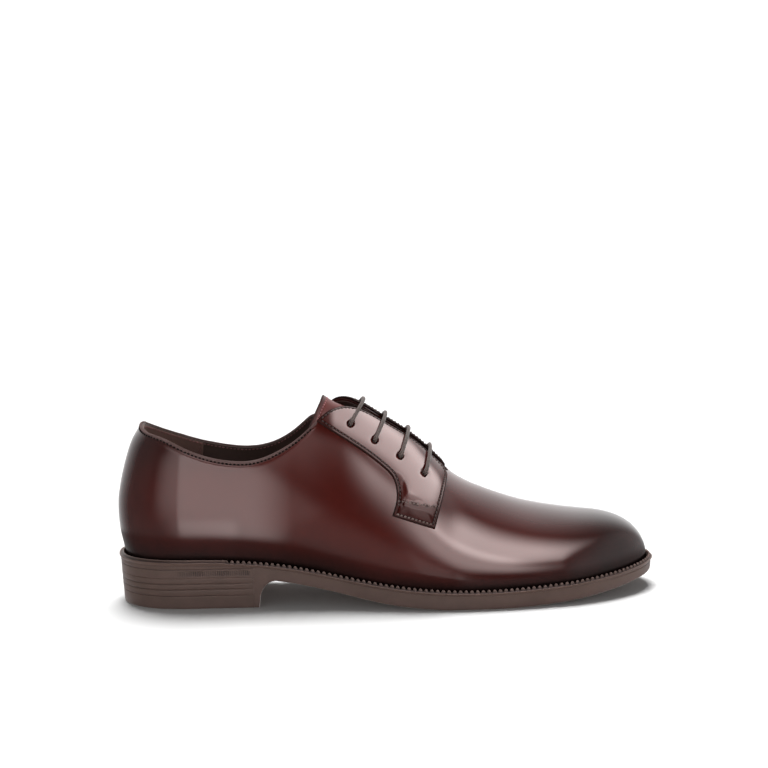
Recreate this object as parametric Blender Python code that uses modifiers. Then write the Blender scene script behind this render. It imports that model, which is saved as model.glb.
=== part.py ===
# Plain-toe derby shoe for the right foot, standing empty on its sole.
# +X is towards the toe, -Y the outer (lateral) side, +Z up, and the sole stands on z = 0.
# Sizes are in millimetres, and MM turns them into Blender's metres where a vertex is made.
import math
from collections import namedtuple

import bmesh
import bpy
import numpy as np

MM = 0.001

# Driving dimensions
HEEL_BACK = 4.2  # back of the last's bottom edge, from the back of the welt
TOE_TIP = 296.4  # front of the last's bottom edge
TOE_SWING = 3.5  # how far the toe tip lies towards the inner side
HEEL_ROUND_END = 42.0  # where the round of the heel ends
TOE_ROUND_START = 246.0  # where the round of the toe starts
TOE_DROP_START = 262.0  # where the top of the toe starts to drop
HEEL_ROUNDNESS = 2.25
TOE_ROUNDNESS = 2.0
TOE_DROP_ROUNDNESS = 2.45
TUCK = 2.4  # how far the wall turns in at the bottom edge
TUCK_HEIGHT = 15.0
HEEL_CURVE_REACH = 95.0  # how far forward the curve of the heel's back is felt

WALL = 2.0  # upper leather with its lining
GAP = 0.3  # clearance between pieces that meet
WELD = 0.02  # vertices nearer than this are one
SHARP_ANGLE = 35.0  # edges sharper than this stay sharp in the shading
FACING_THICKNESS = 1.4
TONGUE_THICKNESS = 2.0
INSOLE_THICKNESS = 3.5
WELT_THICKNESS = 3.0
WELT_WIDTH = 4.2  # from the last's bottom edge to the welt's outer edge at the heel
WELT_WIDTH_TOE = 3.6
WELT_EDGE_ROUND = 0.7
WELT_INNER_FOOT = 0.5
WELT_INNER_LIP = 1.7
SOLE_INSET = 0.9  # how far the sole's edge lies inside the welt's
SOLE_TAPER = 0.085  # how fast the edges of sole and heel draw in downwards
SOLE_EDGE_ROUND = 1.2
HEEL_BREAST = 76.0
HEEL_STACK_TOP = 17.5
TOP_PIECE_HEIGHT = 7.4
TOP_PIECE_ROUND = 1.0

TONGUE_GAP = 0.7  # the tongue lies loose under the facings
TONGUE_FRONT = 197.0
TONGUE_END_CENTRE = 117.5
TONGUE_END_SIDE = 108.8
TONGUE_HALF_WIDTH = 24.0
TONGUE_HALF_WIDTH_FRONT = 15.0

LACE_DIAMETER = 2.4

# Sections of the last, from heel to toe: half-widths at the fullest level on the outer and inner side,
# height of the crown (over the collar it is that of the closed last), sideways place of the crown's
# ridge, and how square the section is (2 is an ellipse).
SECTION_COLUMNS = ("x", "lateral", "medial", "crown", "ridge", "square")
SECTIONS = (
    (4.0, 32.4, 31.6, 150.0, 0.0, 2.60),
    (42.0, 32.4, 31.6, 147.0, 0.0, 2.50),
    (70.0, 33.0, 30.8, 138.0, 0.5, 2.30),
    (92.0, 34.4, 30.6, 127.5, 1.5, 2.15),
    (112.0, 37.2, 32.0, 117.4, 2.0, 2.05),
    (129.0, 40.4, 34.2, 112.0, 2.0, 2.00),
    (148.0, 44.6, 38.2, 99.9, 2.0, 2.00),
    (170.0, 48.6, 43.2, 83.6, 2.5, 2.00),
    (188.0, 50.2, 46.6, 65.8, 3.5, 2.02),
    (206.0, 50.0, 48.2, 56.0, 4.5, 2.08),
    (224.0, 48.0, 48.0, 49.2, 5.0, 2.15),
    (242.0, 44.6, 46.0, 44.9, 5.0, 2.25),
    (260.0, 40.6, 43.4, 42.3, 4.5, 2.35),
    (278.0, 37.0, 41.0, 41.2, 4.0, 2.40),
    (297.0, 34.0, 39.0, 40.6, 3.5, 2.40),
)

# Back curve of the heel, upwards from below the welt.
HEEL_CURVE_COLUMNS = ("z", "x")
HEEL_CURVE = (
    (20.0, 5.0),
    (28.0, 4.1),
    (38.0, 2.1),
    (48.0, 1.0),
    (58.0, 1.2),
    (67.0, 2.7),
    (76.0, 4.9),
    (85.0, 7.6),
    (92.0, 10.6),
    (98.0, 14.6),
)

# Height of the collar's edge along the outer and inner quarter.
COLLAR_COLUMNS = ("x", "lateral", "medial")
COLLAR = (
    (4.0, 98.0, 98.0),
    (14.0, 96.8, 95.4),
    (24.0, 93.8, 91.2),
    (34.0, 90.0, 87.4),
    (44.0, 86.5, 84.4),
    (55.0, 83.4, 82.0),
    (65.0, 81.0, 80.4),
    (75.0, 79.8, 79.9),
    (84.0, 81.4, 81.2),
    (93.0, 86.2, 84.8),
    (103.0, 93.6, 91.4),
    (114.0, 102.4, 101.2),
    (124.0, 108.0, 109.0),
)

# Distance from the ridge to the outer and inner edge of the throat, down to its closed front end.
THROAT_COLUMNS = ("x", "lateral", "medial")
THROAT = (
    (108.0, 25.0, 24.0),
    (116.0, 19.6, 17.0),
    (123.0, 15.6, 11.5),
    (131.0, 12.4, 7.6),
    (140.0, 10.0, 5.4),
    (155.0, 9.0, 5.2),
    (178.0, 8.0, 5.2),
)
THROAT_BLEND = (108.0, 122.0)  # where the rim stops following the collar and follows the throat
THROAT_CLOSE_START = 178.0
THROAT_END = 185.8
THROAT_ROUNDNESS = 2.0

# Top of the welt, and underside of the sole in front of the heel.
WELT_TOP_COLUMNS = ("x", "z")
WELT_TOP = (
    (0.0, 27.7),
    (25.0, 27.9),
    (48.0, 27.7),
    (70.0, 26.9),
    (91.0, 24.9),
    (113.0, 21.2),
    (135.0, 16.9),
    (156.0, 13.6),
    (178.0, 11.6),
    (200.0, 11.0),
    (222.0, 11.3),
    (244.0, 12.3),
    (262.0, 13.6),
    (280.0, 15.3),
    (300.0, 17.6),
)
SOLE_UNDER_COLUMNS = ("x", "z")
SOLE_UNDER = (
    (89.0, 15.4),
    (97.0, 14.2),
    (106.0, 12.6),
    (115.0, 10.8),
    (124.0, 8.8),
    (134.0, 6.4),
    (145.0, 4.0),
    (156.0, 2.2),
    (168.0, 0.9),
    (182.0, 0.0),
)
TREAD_FLAT = (182.0, 216.0)  # the forefoot's flat spot on the floor
TOE_SPRING = 8.6  # rise of the sole's underside at the toe tip
TOE_SPRING_POWER = 1.75
BREAST_FOOT = 79.0  # foot of the sole's turned-down breast
BREAST_HOLLOW = 2.2  # how hollow the curve from the breast to the waist is

# Ribs of the outer facing: the place and height of its lower edge, and where each rib meets the rim.
Rib = namedtuple("Rib", "low_x low_z rim_x")
FACING_CURVED = (
    Rib(113.2, 101.2, 113.4),
    Rib(122.0, 95.6, 125.0),
    Rib(131.0, 90.0, 137.5),
    Rib(141.0, 83.2, 150.0),
    Rib(149.2, 76.6, 160.5),
    Rib(154.4, 70.8, 168.0),
    Rib(156.0, 63.6, 174.0),
    Rib(155.2, 57.6, 178.5),
    Rib(153.2, 51.6, 181.5),
)
FACING_TAB_FRONT = Rib(176.2, 44.2, 184.9)

# Outer eyelets of the four pairs, how far they lie from the ridge, and how far forward of the eyelet
# the middle of its lace bar lies.
Eyelet = namedtuple("Eyelet", "x span forward")
EYELETS = (
    Eyelet(131.5, 20.6, 6.2),
    Eyelet(144.5, 23.2, 5.2),
    Eyelet(158.3, 25.2, 4.0),
    Eyelet(171.2, 27.2, 2.6),
)

# Colours, roughness and metallic value of each material
MATERIALS = {
    "leather": ((0.075, 0.014, 0.011, 1.0), 0.25, 0.0),
    "facing_leather": ((0.062, 0.013, 0.011, 1.0), 0.25, 0.0),
    "tongue_leather": ((0.120, 0.024, 0.020, 1.0), 0.35, 0.0),
    "lining": ((0.065, 0.036, 0.024, 1.0), 0.60, 0.0),
    "sole_rubber": ((0.075, 0.048, 0.038, 1.0), 0.55, 0.0),
    "lace": ((0.080, 0.050, 0.043, 1.0), 0.55, 0.0),
}


def spline(xs, ys):
    """A natural cubic through the points, as a function of x."""
    xs = np.asarray(xs, float)
    ys = np.asarray(ys, float)
    step = np.diff(xs)
    slope = np.diff(ys) / step
    bend = np.zeros(len(xs))
    if len(xs) > 2:
        grid = np.diag(2 * (step[:-1] + step[1:]))
        grid += np.diag(step[1:-1], 1) + np.diag(step[1:-1], -1)
        bend[1:-1] = np.linalg.solve(grid, 6 * np.diff(slope))

    def value(x):
        x = min(max(x, xs[0]), xs[-1])
        k = min(int(np.searchsorted(xs, x, side="right")) - 1, len(step) - 1)
        ahead = (xs[k + 1] - x) / step[k]
        past = (x - xs[k]) / step[k]
        curve = (ahead**3 - ahead) * bend[k] + (past**3 - past) * bend[k + 1]
        return ahead * ys[k] + past * ys[k + 1] + curve * step[k] ** 2 / 6

    return value


def splines(columns, rows):
    """One spline for each column of a table, over its first column."""
    values = list(zip(*rows))
    return {name: spline(values[0], column) for name, column in zip(columns[1:], values[1:])}


section = splines(SECTION_COLUMNS, SECTIONS)
heel_curve = splines(HEEL_CURVE_COLUMNS, HEEL_CURVE)["x"]
collar_height = splines(COLLAR_COLUMNS, COLLAR)
throat_gap = splines(THROAT_COLUMNS, THROAT)
welt_top = splines(WELT_TOP_COLUMNS, WELT_TOP)["z"]
sole_under = splines(SOLE_UNDER_COLUMNS, SOLE_UNDER)["z"]


def mix(a, b, share):
    return a + (b - a) * share


def smooth_step(share):
    share = min(max(share, 0.0), 1.0)
    return share * share * (3 - 2 * share)


def sole_top(x):
    """Top of the outsole, on which welt, upper and insole stand."""
    return welt_top(x) - WELT_THICKNESS - GAP


def feather(x):
    """Height of the upper's bottom edge."""
    return sole_top(x) + GAP


def round_end(share, roundness):
    """Falls from 1 to 0 as share goes from 0 to 1, as the end of a rounded outline does."""
    share = min(max(share, 0.0), 1.0)
    return (1 - share**roundness) ** (1 / roundness)


def heel_station(angle):
    """Place of a station on the heel's round, from its back (0) to where it ends (90 degrees)."""
    depth = HEEL_ROUND_END - HEEL_BACK
    return HEEL_ROUND_END - depth * math.cos(math.radians(angle)) ** (2 / HEEL_ROUNDNESS)


def toe_station(angle):
    """Place of a station on the toe's round, from where it starts (0) to the tip (90 degrees)."""
    depth = TOE_TIP - TOE_ROUND_START
    return TOE_ROUND_START + depth * math.sin(math.radians(angle)) ** (2 / TOE_ROUNDNESS)


def last_point(x, girth):
    """A point of the last's surface. Girth runs from 0 at the outer bottom edge, over 90 at the ridge,
    to 180 at the inner bottom edge."""
    heel_share = (HEEL_ROUND_END - x) / (HEEL_ROUND_END - HEEL_BACK)
    toe_share = (x - TOE_ROUND_START) / (TOE_TIP - TOE_ROUND_START)
    drop_share = (x - TOE_DROP_START) / (TOE_TIP - TOE_DROP_START)
    narrow = round_end(heel_share, HEEL_ROUNDNESS) * round_end(toe_share, TOE_ROUNDNESS)
    axis = TOE_SWING if toe_share > 0 else 0.0
    bottom = feather(x)
    rise = (section["crown"](x) - bottom) * round_end(drop_share, TOE_DROP_ROUNDNESS)
    power = 2 / section["square"](x)
    across = math.cos(math.radians(girth))
    up = math.sin(math.radians(girth)) ** power
    ridge = mix(axis, section["ridge"](x), narrow)
    if across >= 0:
        edge = mix(axis, -section["lateral"](x), narrow)
    else:
        edge = mix(axis, section["medial"](x), narrow)
    tuck = TUCK * narrow * max(0.0, 1 - rise * up / TUCK_HEIGHT) ** 2
    y = mix(ridge, edge, abs(across) ** power)
    y += math.copysign(tuck, across) * abs(across)
    z = bottom + rise * up
    reach = max(0.0, 1 - (x - HEEL_BACK) / HEEL_CURVE_REACH) ** 2
    return np.array((x + (heel_curve(z) - HEEL_BACK) * reach, y, z))


def girth_at_height(x, z):
    """Girth on the outer side where the last has that height."""
    share = (z - feather(x)) / (section["crown"](x) - feather(x))
    return math.degrees(math.asin(min(share, 1.0) ** (section["square"](x) / 2)))


def girth_at_span(x, span, side):
    """Girth at that distance sideways from the ridge, on the outer (-1) or inner (1) side."""
    name = "lateral" if side < 0 else "medial"
    reach = section[name](x) - side * section["ridge"](x)
    girth = math.degrees(math.acos(min(span / reach, 1.0) ** (section["square"](x) / 2)))
    return girth if side < 0 else 180 - girth


def mirrored(girth, side):
    return girth if side < 0 else 180 - girth


def rim(x, side):
    """Girth of the upper's rim: the collar's edge, then the edge of the throat, then the closed ridge."""
    name = "lateral" if side < 0 else "medial"
    collar = mirrored(girth_at_height(x, collar_height[name](x)), side)
    if x <= THROAT_BLEND[0]:
        return collar
    if x >= THROAT_END:
        return 90.0
    closing = max(0.0, (x - THROAT_CLOSE_START) / (THROAT_END - THROAT_CLOSE_START))
    throat = girth_at_span(x, throat_gap[name](x) * round_end(closing, THROAT_ROUNDNESS), side)
    start, end = THROAT_BLEND
    return mix(collar, throat, smooth_step((x - start) / (end - start)))


def raised_point(x, girth, height):
    """A point that stands that far out from the last's surface."""
    small = 0.05
    along = last_point(x + small, girth) - last_point(x - small, girth)
    round_ = last_point(x, girth + small) - last_point(x, girth - small)
    normal = np.cross(along, round_)
    return last_point(x, girth) + height * normal / np.linalg.norm(normal)


def outline(x, side, offset):
    """Plan of the last's bottom edge at a station, moved outwards by offset."""
    small = 1e-4
    behind = last_point(max(x - small, HEEL_BACK), 0 if side < 0 else 180)
    ahead = last_point(min(x + small, TOE_TIP), 0 if side < 0 else 180)
    along = (ahead - behind)[:2]
    along = along / np.linalg.norm(along)
    out = np.array((-side * along[1], side * along[0]))
    return last_point(x, 0 if side < 0 else 180)[:2] + offset * out


def welt_width(x):
    share = smooth_step((x - HEEL_ROUND_END) / (TOE_TIP - HEEL_ROUND_END))
    return mix(WELT_WIDTH, WELT_WIDTH_TOE, share)


def edge_inset(x, z):
    """Distance from the last's bottom edge to the edge of sole or heel at that height."""
    return welt_width(x) - SOLE_INSET - SOLE_TAPER * (sole_top(x) - z)


def underside(x):
    """Underside of the sole: over the heel stack, down its breast, the waist, the flat tread and the toe."""
    if x <= HEEL_BREAST + GAP:
        return HEEL_STACK_TOP + GAP
    if x < BREAST_FOOT:
        return 0.0
    if x < SOLE_UNDER[0][0]:
        share = (x - BREAST_FOOT) / (SOLE_UNDER[0][0] - BREAST_FOOT)
        return SOLE_UNDER[0][1] * (1 - (1 - share) ** BREAST_HOLLOW) ** (1 / BREAST_HOLLOW)
    if x < TREAD_FLAT[0]:
        return sole_under(x)
    past = max(0.0, x - TREAD_FLAT[1]) / (TOE_TIP - TREAD_FLAT[1])
    return TOE_SPRING * past**TOE_SPRING_POWER


# Stations of the lofted pieces, closer together on the rounds of heel and toe
ROUND_STEPS = 9
MIDDLE_STEP = 8.5
CROWDED = 4.0  # a station nearer than this to one that a piece needs is left out
heel_stations = [heel_station(90 * k / ROUND_STEPS) for k in range(ROUND_STEPS)]
toe_stations = [toe_station(90 * k / ROUND_STEPS) for k in range(ROUND_STEPS + 1)]
middle_count = round((TOE_ROUND_START - HEEL_ROUND_END) / MIDDLE_STEP)
middle_stations = [float(x) for x in np.linspace(HEEL_ROUND_END, TOE_ROUND_START, middle_count + 1)[:-1]]
stations = heel_stations + middle_stations + toe_stations

# The part's origin lies under the middle of its box.
FINE_STEPS = 400
fine_stations = [float(x) for x in np.linspace(HEEL_BACK, TOE_TIP, FINE_STEPS)]
widest = [[outline(x, side, welt_width(x))[1] for x in fine_stations] for side in (-1, 1)]
back_end = outline(HEEL_BACK, -1, WELT_WIDTH)[0]
front_end = outline(TOE_TIP, -1, WELT_WIDTH_TOE)[0]
ORIGIN = np.array(((back_end + front_end) / 2, (min(widest[0]) + max(widest[1])) / 2, 0.0))


def clear_scene():
    for old in list(bpy.data.objects):
        bpy.data.objects.remove(old, do_unlink=True)


def material(name):
    colour, roughness, metallic = MATERIALS[name]
    made = bpy.data.materials.get(name) or bpy.data.materials.new(name)
    made.use_nodes = True
    shader = made.node_tree.nodes["Principled BSDF"]
    shader.inputs["Base Color"].default_value = colour
    shader.inputs["Roughness"].default_value = roughness
    shader.inputs["Metallic"].default_value = metallic
    made.diffuse_color = colour
    return made


def piece(name, mesh_or_curve, material_name):
    """A named object of the shoe, standing at the part's origin."""
    made = bpy.data.objects.new(name, mesh_or_curve)
    made.data.materials.append(material(material_name))
    shoe.objects.link(made)
    return made


def vertex(bm, point):
    return bm.verts.new((np.asarray(point) - ORIGIN) * MM)


def mesh_from(bm, name):
    """The finished mesh, welded where its sides meet and shaded smooth."""
    bmesh.ops.remove_doubles(bm, verts=bm.verts, dist=WELD * MM)
    bmesh.ops.recalc_face_normals(bm, faces=bm.faces)
    mesh = bpy.data.meshes.new(name)
    bm.to_mesh(mesh)
    bm.free()
    mesh.shade_smooth()
    mesh.set_sharp_from_angle(angle=math.radians(SHARP_ANGLE))
    return mesh


def bridge(bm, first, second, closed):
    """Faces between two rows of vertices."""
    count = len(first)
    for k in range(count if closed else count - 1):
        n = (k + 1) % count
        bm.faces.new((first[k], first[n], second[n], second[k]))


def sheet(name, rows):
    """An open surface through rows of points."""
    bm = bmesh.new()
    lines = [[vertex(bm, point) for point in row] for row in rows]
    for first, second in zip(lines, lines[1:]):
        bridge(bm, first, second, closed=False)
    return mesh_from(bm, name)


def cap(bm, ring):
    """Closes a ring with rungs from its outer to its inner side, so that a curved face stays curved."""
    count = len(ring)
    for k in range(count // 2):
        corners = (ring[k], ring[k + 1], ring[-k - 1], ring[-k])
        bm.faces.new(tuple(dict.fromkeys(corners)))


def ring_of(xs, offset, height):
    """A closed ring round the sole: heel to toe on the outer side and back on the inner side."""
    inner = [x for x in reversed(xs) if HEEL_BACK + WELD < x < TOE_TIP - WELD]
    points = []
    for side, run in ((-1, xs), (1, inner)):
        for x in run:
            plan = outline(x, side, offset(x))
            points.append((plan[0], plan[1], height(x)))
    return points


def solid_from(name, rings, wrap):
    """A solid lofted through rings. With wrap it is a band whose last ring joins its first."""
    bm = bmesh.new()
    lines = [[vertex(bm, point) for point in ring] for ring in rings]
    for first, second in zip(lines, lines[1:]):
        bridge(bm, first, second, closed=True)
    if wrap:
        bridge(bm, lines[-1], lines[0], closed=True)
    else:
        cap(bm, lines[0])
        cap(bm, lines[-1])
    return mesh_from(bm, name)


def thicken(made, thickness):
    """Gives an open surface its wall, on the side that its normals point away from."""
    wall = made.modifiers.new("wall", "SOLIDIFY")
    wall.thickness = thickness * MM
    wall.offset = -1
    wall.use_even_offset = True


def make_upper():
    """Quarters and vamp in one wall, open at collar and throat, and underneath for the sole."""
    girth_steps = 13
    tight_runs = {
        (104.0, 130.0): (106.0, 110.0, 113.0, 116.0, 119.0, 122.0, 126.0),
        (177.0, 190.0): (THROAT_CLOSE_START, 181.0, 183.6, 185.2, THROAT_END),
    }
    runs = list(stations)
    for (start, end), finer in tight_runs.items():
        runs = sorted([x for x in runs if not start < x < end] + list(finer))
    bm = bmesh.new()
    for side in (-1, 1):
        rows = []
        for x in runs:
            start = 0.0 if side < 0 else 180.0
            girths = [mix(start, rim(x, side), k / girth_steps) for k in range(girth_steps + 1)]
            rows.append([vertex(bm, last_point(x, girth)) for girth in girths])
        for first, second in zip(rows, rows[1:]):
            bridge(bm, first, second, closed=False)
    upper = piece("upper", mesh_from(bm, "upper"), "leather")
    thicken(upper, WALL)


def facing_ribs():
    """The facing's ribs, smooth down to the tab's rear corner and straight along the tab's foot."""
    count = len(FACING_CURVED)
    columns = [spline(range(count), column) for column in zip(*FACING_CURVED)]
    curved_steps = 20
    tab_steps = 5
    ribs = [Rib(*(column(t) for column in columns)) for t in np.linspace(0, count - 1, curved_steps + 1)]
    corner = ribs[-1]
    for k in range(1, tab_steps + 1):
        ribs.append(Rib(*(mix(a, b, k / tab_steps) for a, b in zip(corner, FACING_TAB_FRONT))))
    return ribs


def make_facing(name, side):
    """The panel that carries the eyelets, with its stitched tab, lying proud on the quarter."""
    rib_steps = 9
    rows = []
    for rib in facing_ribs():
        low = mirrored(girth_at_height(rib.low_x, rib.low_z), side)
        top = rim(rib.rim_x, side)
        row = []
        for k in range(rib_steps + 1):
            share = k / rib_steps
            place = mix(rib.low_x, rib.rim_x, share)
            row.append(raised_point(place, mix(low, top, share), GAP + FACING_THICKNESS))
        rows.append(row)
    facing = piece(name, sheet(name, rows), "facing_leather")
    face_outwards(facing)
    thicken(facing, FACING_THICKNESS)


def face_outwards(made):
    """Turns an open sheet so that its normals point away from the shoe's middle."""
    bm = bmesh.new()
    bm.from_mesh(made.data)
    middle = np.array((0.0, 0.0, 2 * feather(HEEL_BREAST) * MM))
    outward = sum(face.normal.dot(np.array(face.calc_center_median()) - middle) for face in bm.faces)
    if outward < 0:
        bmesh.ops.reverse_faces(bm, faces=bm.faces)
    bm.to_mesh(made.data)
    bm.free()


def make_tongue():
    """The tongue under the facings, from inside the vamp to its arched free end above the collar."""
    across_steps = 14
    along_steps = 16
    rows = []
    for i in range(along_steps + 1):
        row = []
        for k in range(across_steps + 1):
            share = 2 * k / across_steps - 1
            side = -1 if share < 0 else 1
            end = mix(TONGUE_END_CENTRE, TONGUE_END_SIDE, share**2)
            x = mix(end, TONGUE_FRONT, i / along_steps)
            half_width = mix(TONGUE_HALF_WIDTH, TONGUE_HALF_WIDTH_FRONT, i / along_steps)
            girth = girth_at_span(x, half_width * abs(share), side)
            row.append(raised_point(x, girth, -WALL - TONGUE_GAP))
        rows.append(row)
    tongue = piece("tongue", sheet("tongue", rows), "tongue_leather")
    face_outwards(tongue)
    thicken(tongue, TONGUE_THICKNESS)


def make_insole():
    inset = -WALL - 2 * GAP
    xs = stations[::2] + [stations[-1]]
    rings = [
        ring_of(xs, lambda x: inset, lambda x: sole_top(x) + GAP),
        ring_of(xs, lambda x: inset, lambda x: sole_top(x) + GAP + INSOLE_THICKNESS),
    ]
    piece("insole", solid_from("insole", rings, wrap=False), "lining")


def make_welt():
    """The strip round the upper's foot, standing a little proud of the sole's edge."""
    def foot(x):
        return sole_top(x) + GAP

    def lip(x):
        return WELT_INNER_LIP

    def edge(x):
        return welt_width(x)

    def rounded(x):
        return welt_width(x) - WELT_EDGE_ROUND

    rings = [
        ring_of(stations, lambda x: WELT_INNER_FOOT, foot),
        ring_of(stations, rounded, foot),
        ring_of(stations, edge, lambda x: foot(x) + WELT_EDGE_ROUND),
        ring_of(stations, edge, lambda x: welt_top(x) - WELT_EDGE_ROUND),
        ring_of(stations, rounded, welt_top),
        ring_of(stations, lip, welt_top),
    ]
    piece("welt", solid_from("welt", rings, wrap=True), "sole_rubber")


def make_outsole():
    """The sole from heel to toe. In front of the heel it turns down over the heel's breast."""
    hollow_steps = 6
    hollow = np.linspace(BREAST_FOOT, SOLE_UNDER[0][0], hollow_steps + 1)
    breast = [HEEL_BREAST + GAP, HEEL_BREAST + 2 * GAP] + [float(x) for x in hollow]
    needed = breast + list(TREAD_FLAT)
    runs = [x for x in stations if min(abs(x - place) for place in needed) > CROWDED]
    xs = sorted(runs + needed)

    def side_height(x):
        return min(underside(x) + SOLE_EDGE_ROUND, sole_top(x) - GAP)

    rings = [
        ring_of(xs, lambda x: edge_inset(x, underside(x)) - SOLE_EDGE_ROUND, underside),
        ring_of(xs, lambda x: edge_inset(x, side_height(x)), side_height),
        ring_of(xs, lambda x: edge_inset(x, sole_top(x)), sole_top),
    ]
    piece("outsole", solid_from("outsole", rings, wrap=False), "sole_rubber")


def heel_ring(inset, height):
    """A ring of the heel, closed by its straight breast."""
    xs = heel_stations + [x for x in middle_stations if x < HEEL_BREAST - CROWDED] + [HEEL_BREAST]
    return ring_of(xs, lambda x: edge_inset(x, height) - inset, lambda x: height)


def make_heel():
    """The stacked heel, and the top piece that it stands on."""
    stack_foot = TOP_PIECE_HEIGHT + GAP
    stack = [heel_ring(0.0, stack_foot), heel_ring(0.0, HEEL_STACK_TOP)]
    piece("heel_stack", solid_from("heel_stack", stack, wrap=False), "sole_rubber")
    top_piece = [
        heel_ring(TOP_PIECE_ROUND, 0.0),
        heel_ring(0.0, TOP_PIECE_ROUND),
        heel_ring(0.0, TOP_PIECE_HEIGHT),
    ]
    piece("heel_top_piece", solid_from("heel_top_piece", top_piece, wrap=False), "sole_rubber")


def lace_point(eyelet, share):
    """A point on a lace bar that crosses the throat, from the outer eyelet (-1) to the inner one (1)."""
    side = -1 if share < 0 else 1
    height = GAP + FACING_THICKNESS + GAP + LACE_DIAMETER / 2
    place = eyelet.x + eyelet.forward * (1 - share**2)
    return raised_point(place, girth_at_span(place, eyelet.span * abs(share), side), height)


def make_laces():
    """Four straight bars of lace between the eyelets."""
    bar_steps = 14
    for number, eyelet in enumerate(EYELETS, 1):
        curve = bpy.data.curves.new(f"lace_bar_{number}", "CURVE")
        curve.dimensions = "3D"
        curve.bevel_depth = LACE_DIAMETER / 2 * MM
        curve.bevel_resolution = 2
        curve.use_fill_caps = True
        line = curve.splines.new("POLY")
        line.points.add(bar_steps)
        for k in range(bar_steps + 1):
            point = (lace_point(eyelet, 2 * k / bar_steps - 1) - ORIGIN) * MM
            line.points[k].co = (*point, 1.0)
        piece(f"lace_bar_{number}", curve, "lace")


clear_scene()
shoe = bpy.data.collections.new("derby_shoe")
bpy.context.scene.collection.children.link(shoe)
make_outsole()
make_heel()
make_welt()
make_insole()
make_upper()
make_tongue()
make_facing("facing_lateral", -1)
make_facing("facing_medial", 1)
make_laces()
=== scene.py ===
import math

import bpy
import numpy as np
from mathutils import Matrix, Vector
from mathutils.kdtree import KDTree


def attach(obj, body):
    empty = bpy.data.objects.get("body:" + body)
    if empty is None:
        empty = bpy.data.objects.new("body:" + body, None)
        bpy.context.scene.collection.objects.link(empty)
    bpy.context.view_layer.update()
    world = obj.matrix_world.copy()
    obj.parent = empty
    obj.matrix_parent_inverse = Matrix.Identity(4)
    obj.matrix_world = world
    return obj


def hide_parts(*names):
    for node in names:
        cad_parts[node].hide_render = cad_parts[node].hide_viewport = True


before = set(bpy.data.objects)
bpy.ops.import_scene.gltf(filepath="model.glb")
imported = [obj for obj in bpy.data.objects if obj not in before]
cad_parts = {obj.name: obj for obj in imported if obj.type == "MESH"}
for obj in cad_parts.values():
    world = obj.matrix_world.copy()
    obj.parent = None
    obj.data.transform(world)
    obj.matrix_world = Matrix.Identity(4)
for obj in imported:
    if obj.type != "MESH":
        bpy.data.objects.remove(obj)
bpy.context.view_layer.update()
print("frame loaded with", len(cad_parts), "nodes")

mm = 0.001  # sizes below are in millimetres, meshes in metres
outerSide, innerSide = -1, 1  # the outer side of this right shoe looks along -y
bothSides = (outerSide, innerSide)
seamWeld = 0.02  # points nearer than this are one
crowding = 0.35  # stations nearer to a needed one than this share of their step are left out

# the last under the upper: x runs forward from the back of the welt, z up from the floor
last = {
    "heelBack": 4.2,  # back of its bottom edge
    "toeTip": 296.4,
    "toeSwing": 3.5,  # the toe tip lies this far to the inner side
    "heelRoundEnd": 42.0,
    "toeRoundStart": 246.0,
    "toeDropStart": 262.0,
    "heelRoundness": 2.25,
    "toeRoundness": 2.0,
    "toeDropRoundness": 2.45,
    "tuck": 2.4,  # the wall turns in at the bottom edge
    "tuckHeight": 15.0,
    "heelCurveReach": 95.0,
    # x, outer and inner half-width, height of the crown, sideways place of its ridge, squareness
    "sections": (
        (4.0, 32.4, 31.6, 150.0, 0.0, 2.60),
        (42.0, 32.4, 31.6, 147.0, 0.0, 2.50),
        (70.0, 33.0, 30.8, 138.0, 0.5, 2.30),
        (92.0, 34.4, 30.6, 127.5, 1.5, 2.15),
        (112.0, 37.2, 32.0, 117.4, 2.0, 2.05),
        (129.0, 40.4, 34.2, 112.0, 2.0, 2.00),
        (148.0, 44.6, 38.2, 99.9, 2.0, 2.00),
        (170.0, 48.6, 43.2, 83.6, 2.5, 2.00),
        (188.0, 50.2, 46.6, 65.8, 3.5, 2.02),
        (206.0, 50.0, 48.2, 56.0, 4.5, 2.08),
        (224.0, 48.0, 48.0, 49.2, 5.0, 2.15),
        (242.0, 44.6, 46.0, 44.9, 5.0, 2.25),
        (260.0, 40.6, 43.4, 42.3, 4.5, 2.35),
        (278.0, 37.0, 41.0, 41.2, 4.0, 2.40),
        (297.0, 34.0, 39.0, 40.6, 3.5, 2.40),
    ),
    # z and x of the heel's back curve
    "heelCurve": (
        (20.0, 5.0), (28.0, 4.1), (38.0, 2.1), (48.0, 1.0), (58.0, 1.2),
        (67.0, 2.7), (76.0, 4.9), (85.0, 7.6), (92.0, 10.6), (98.0, 14.6),
    ),
}

# the rim of the upper: the collar's edge, then the edges of the throat down to its closed front
rim = {
    # x, height of the collar's edge on the outer and inner quarter
    "collar": (
        (4.0, 99.7, 99.7), (7.0, 98.7, 98.0), (14.0, 97.4, 94.7), (24.0, 95.5, 90.7), (34.0, 91.9, 87.4),
        (44.0, 87.9, 84.4), (55.0, 84.5, 82.0), (65.0, 82.7, 80.4), (75.0, 82.3, 79.9), (84.0, 84.1, 81.2),
        (93.0, 87.9, 84.8), (103.0, 93.8, 92.0), (114.0, 102.4, 102.4), (124.0, 108.0, 109.0),
    ),
    # x, distance from the ridge to the outer and inner edge
    "throat": (
        (108.0, 25.0, 24.0), (116.0, 19.6, 17.0), (123.0, 15.6, 11.5), (131.0, 12.4, 7.6),
        (140.0, 10.0, 5.4), (155.0, 9.0, 5.2), (178.0, 8.0, 5.2),
    ),
    "blendStart": 108.0,
    "blendEnd": 122.0,
    "closeStart": 178.0,
    "closeEnd": 185.8,
    "closeRoundness": 2.0,
}

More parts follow.
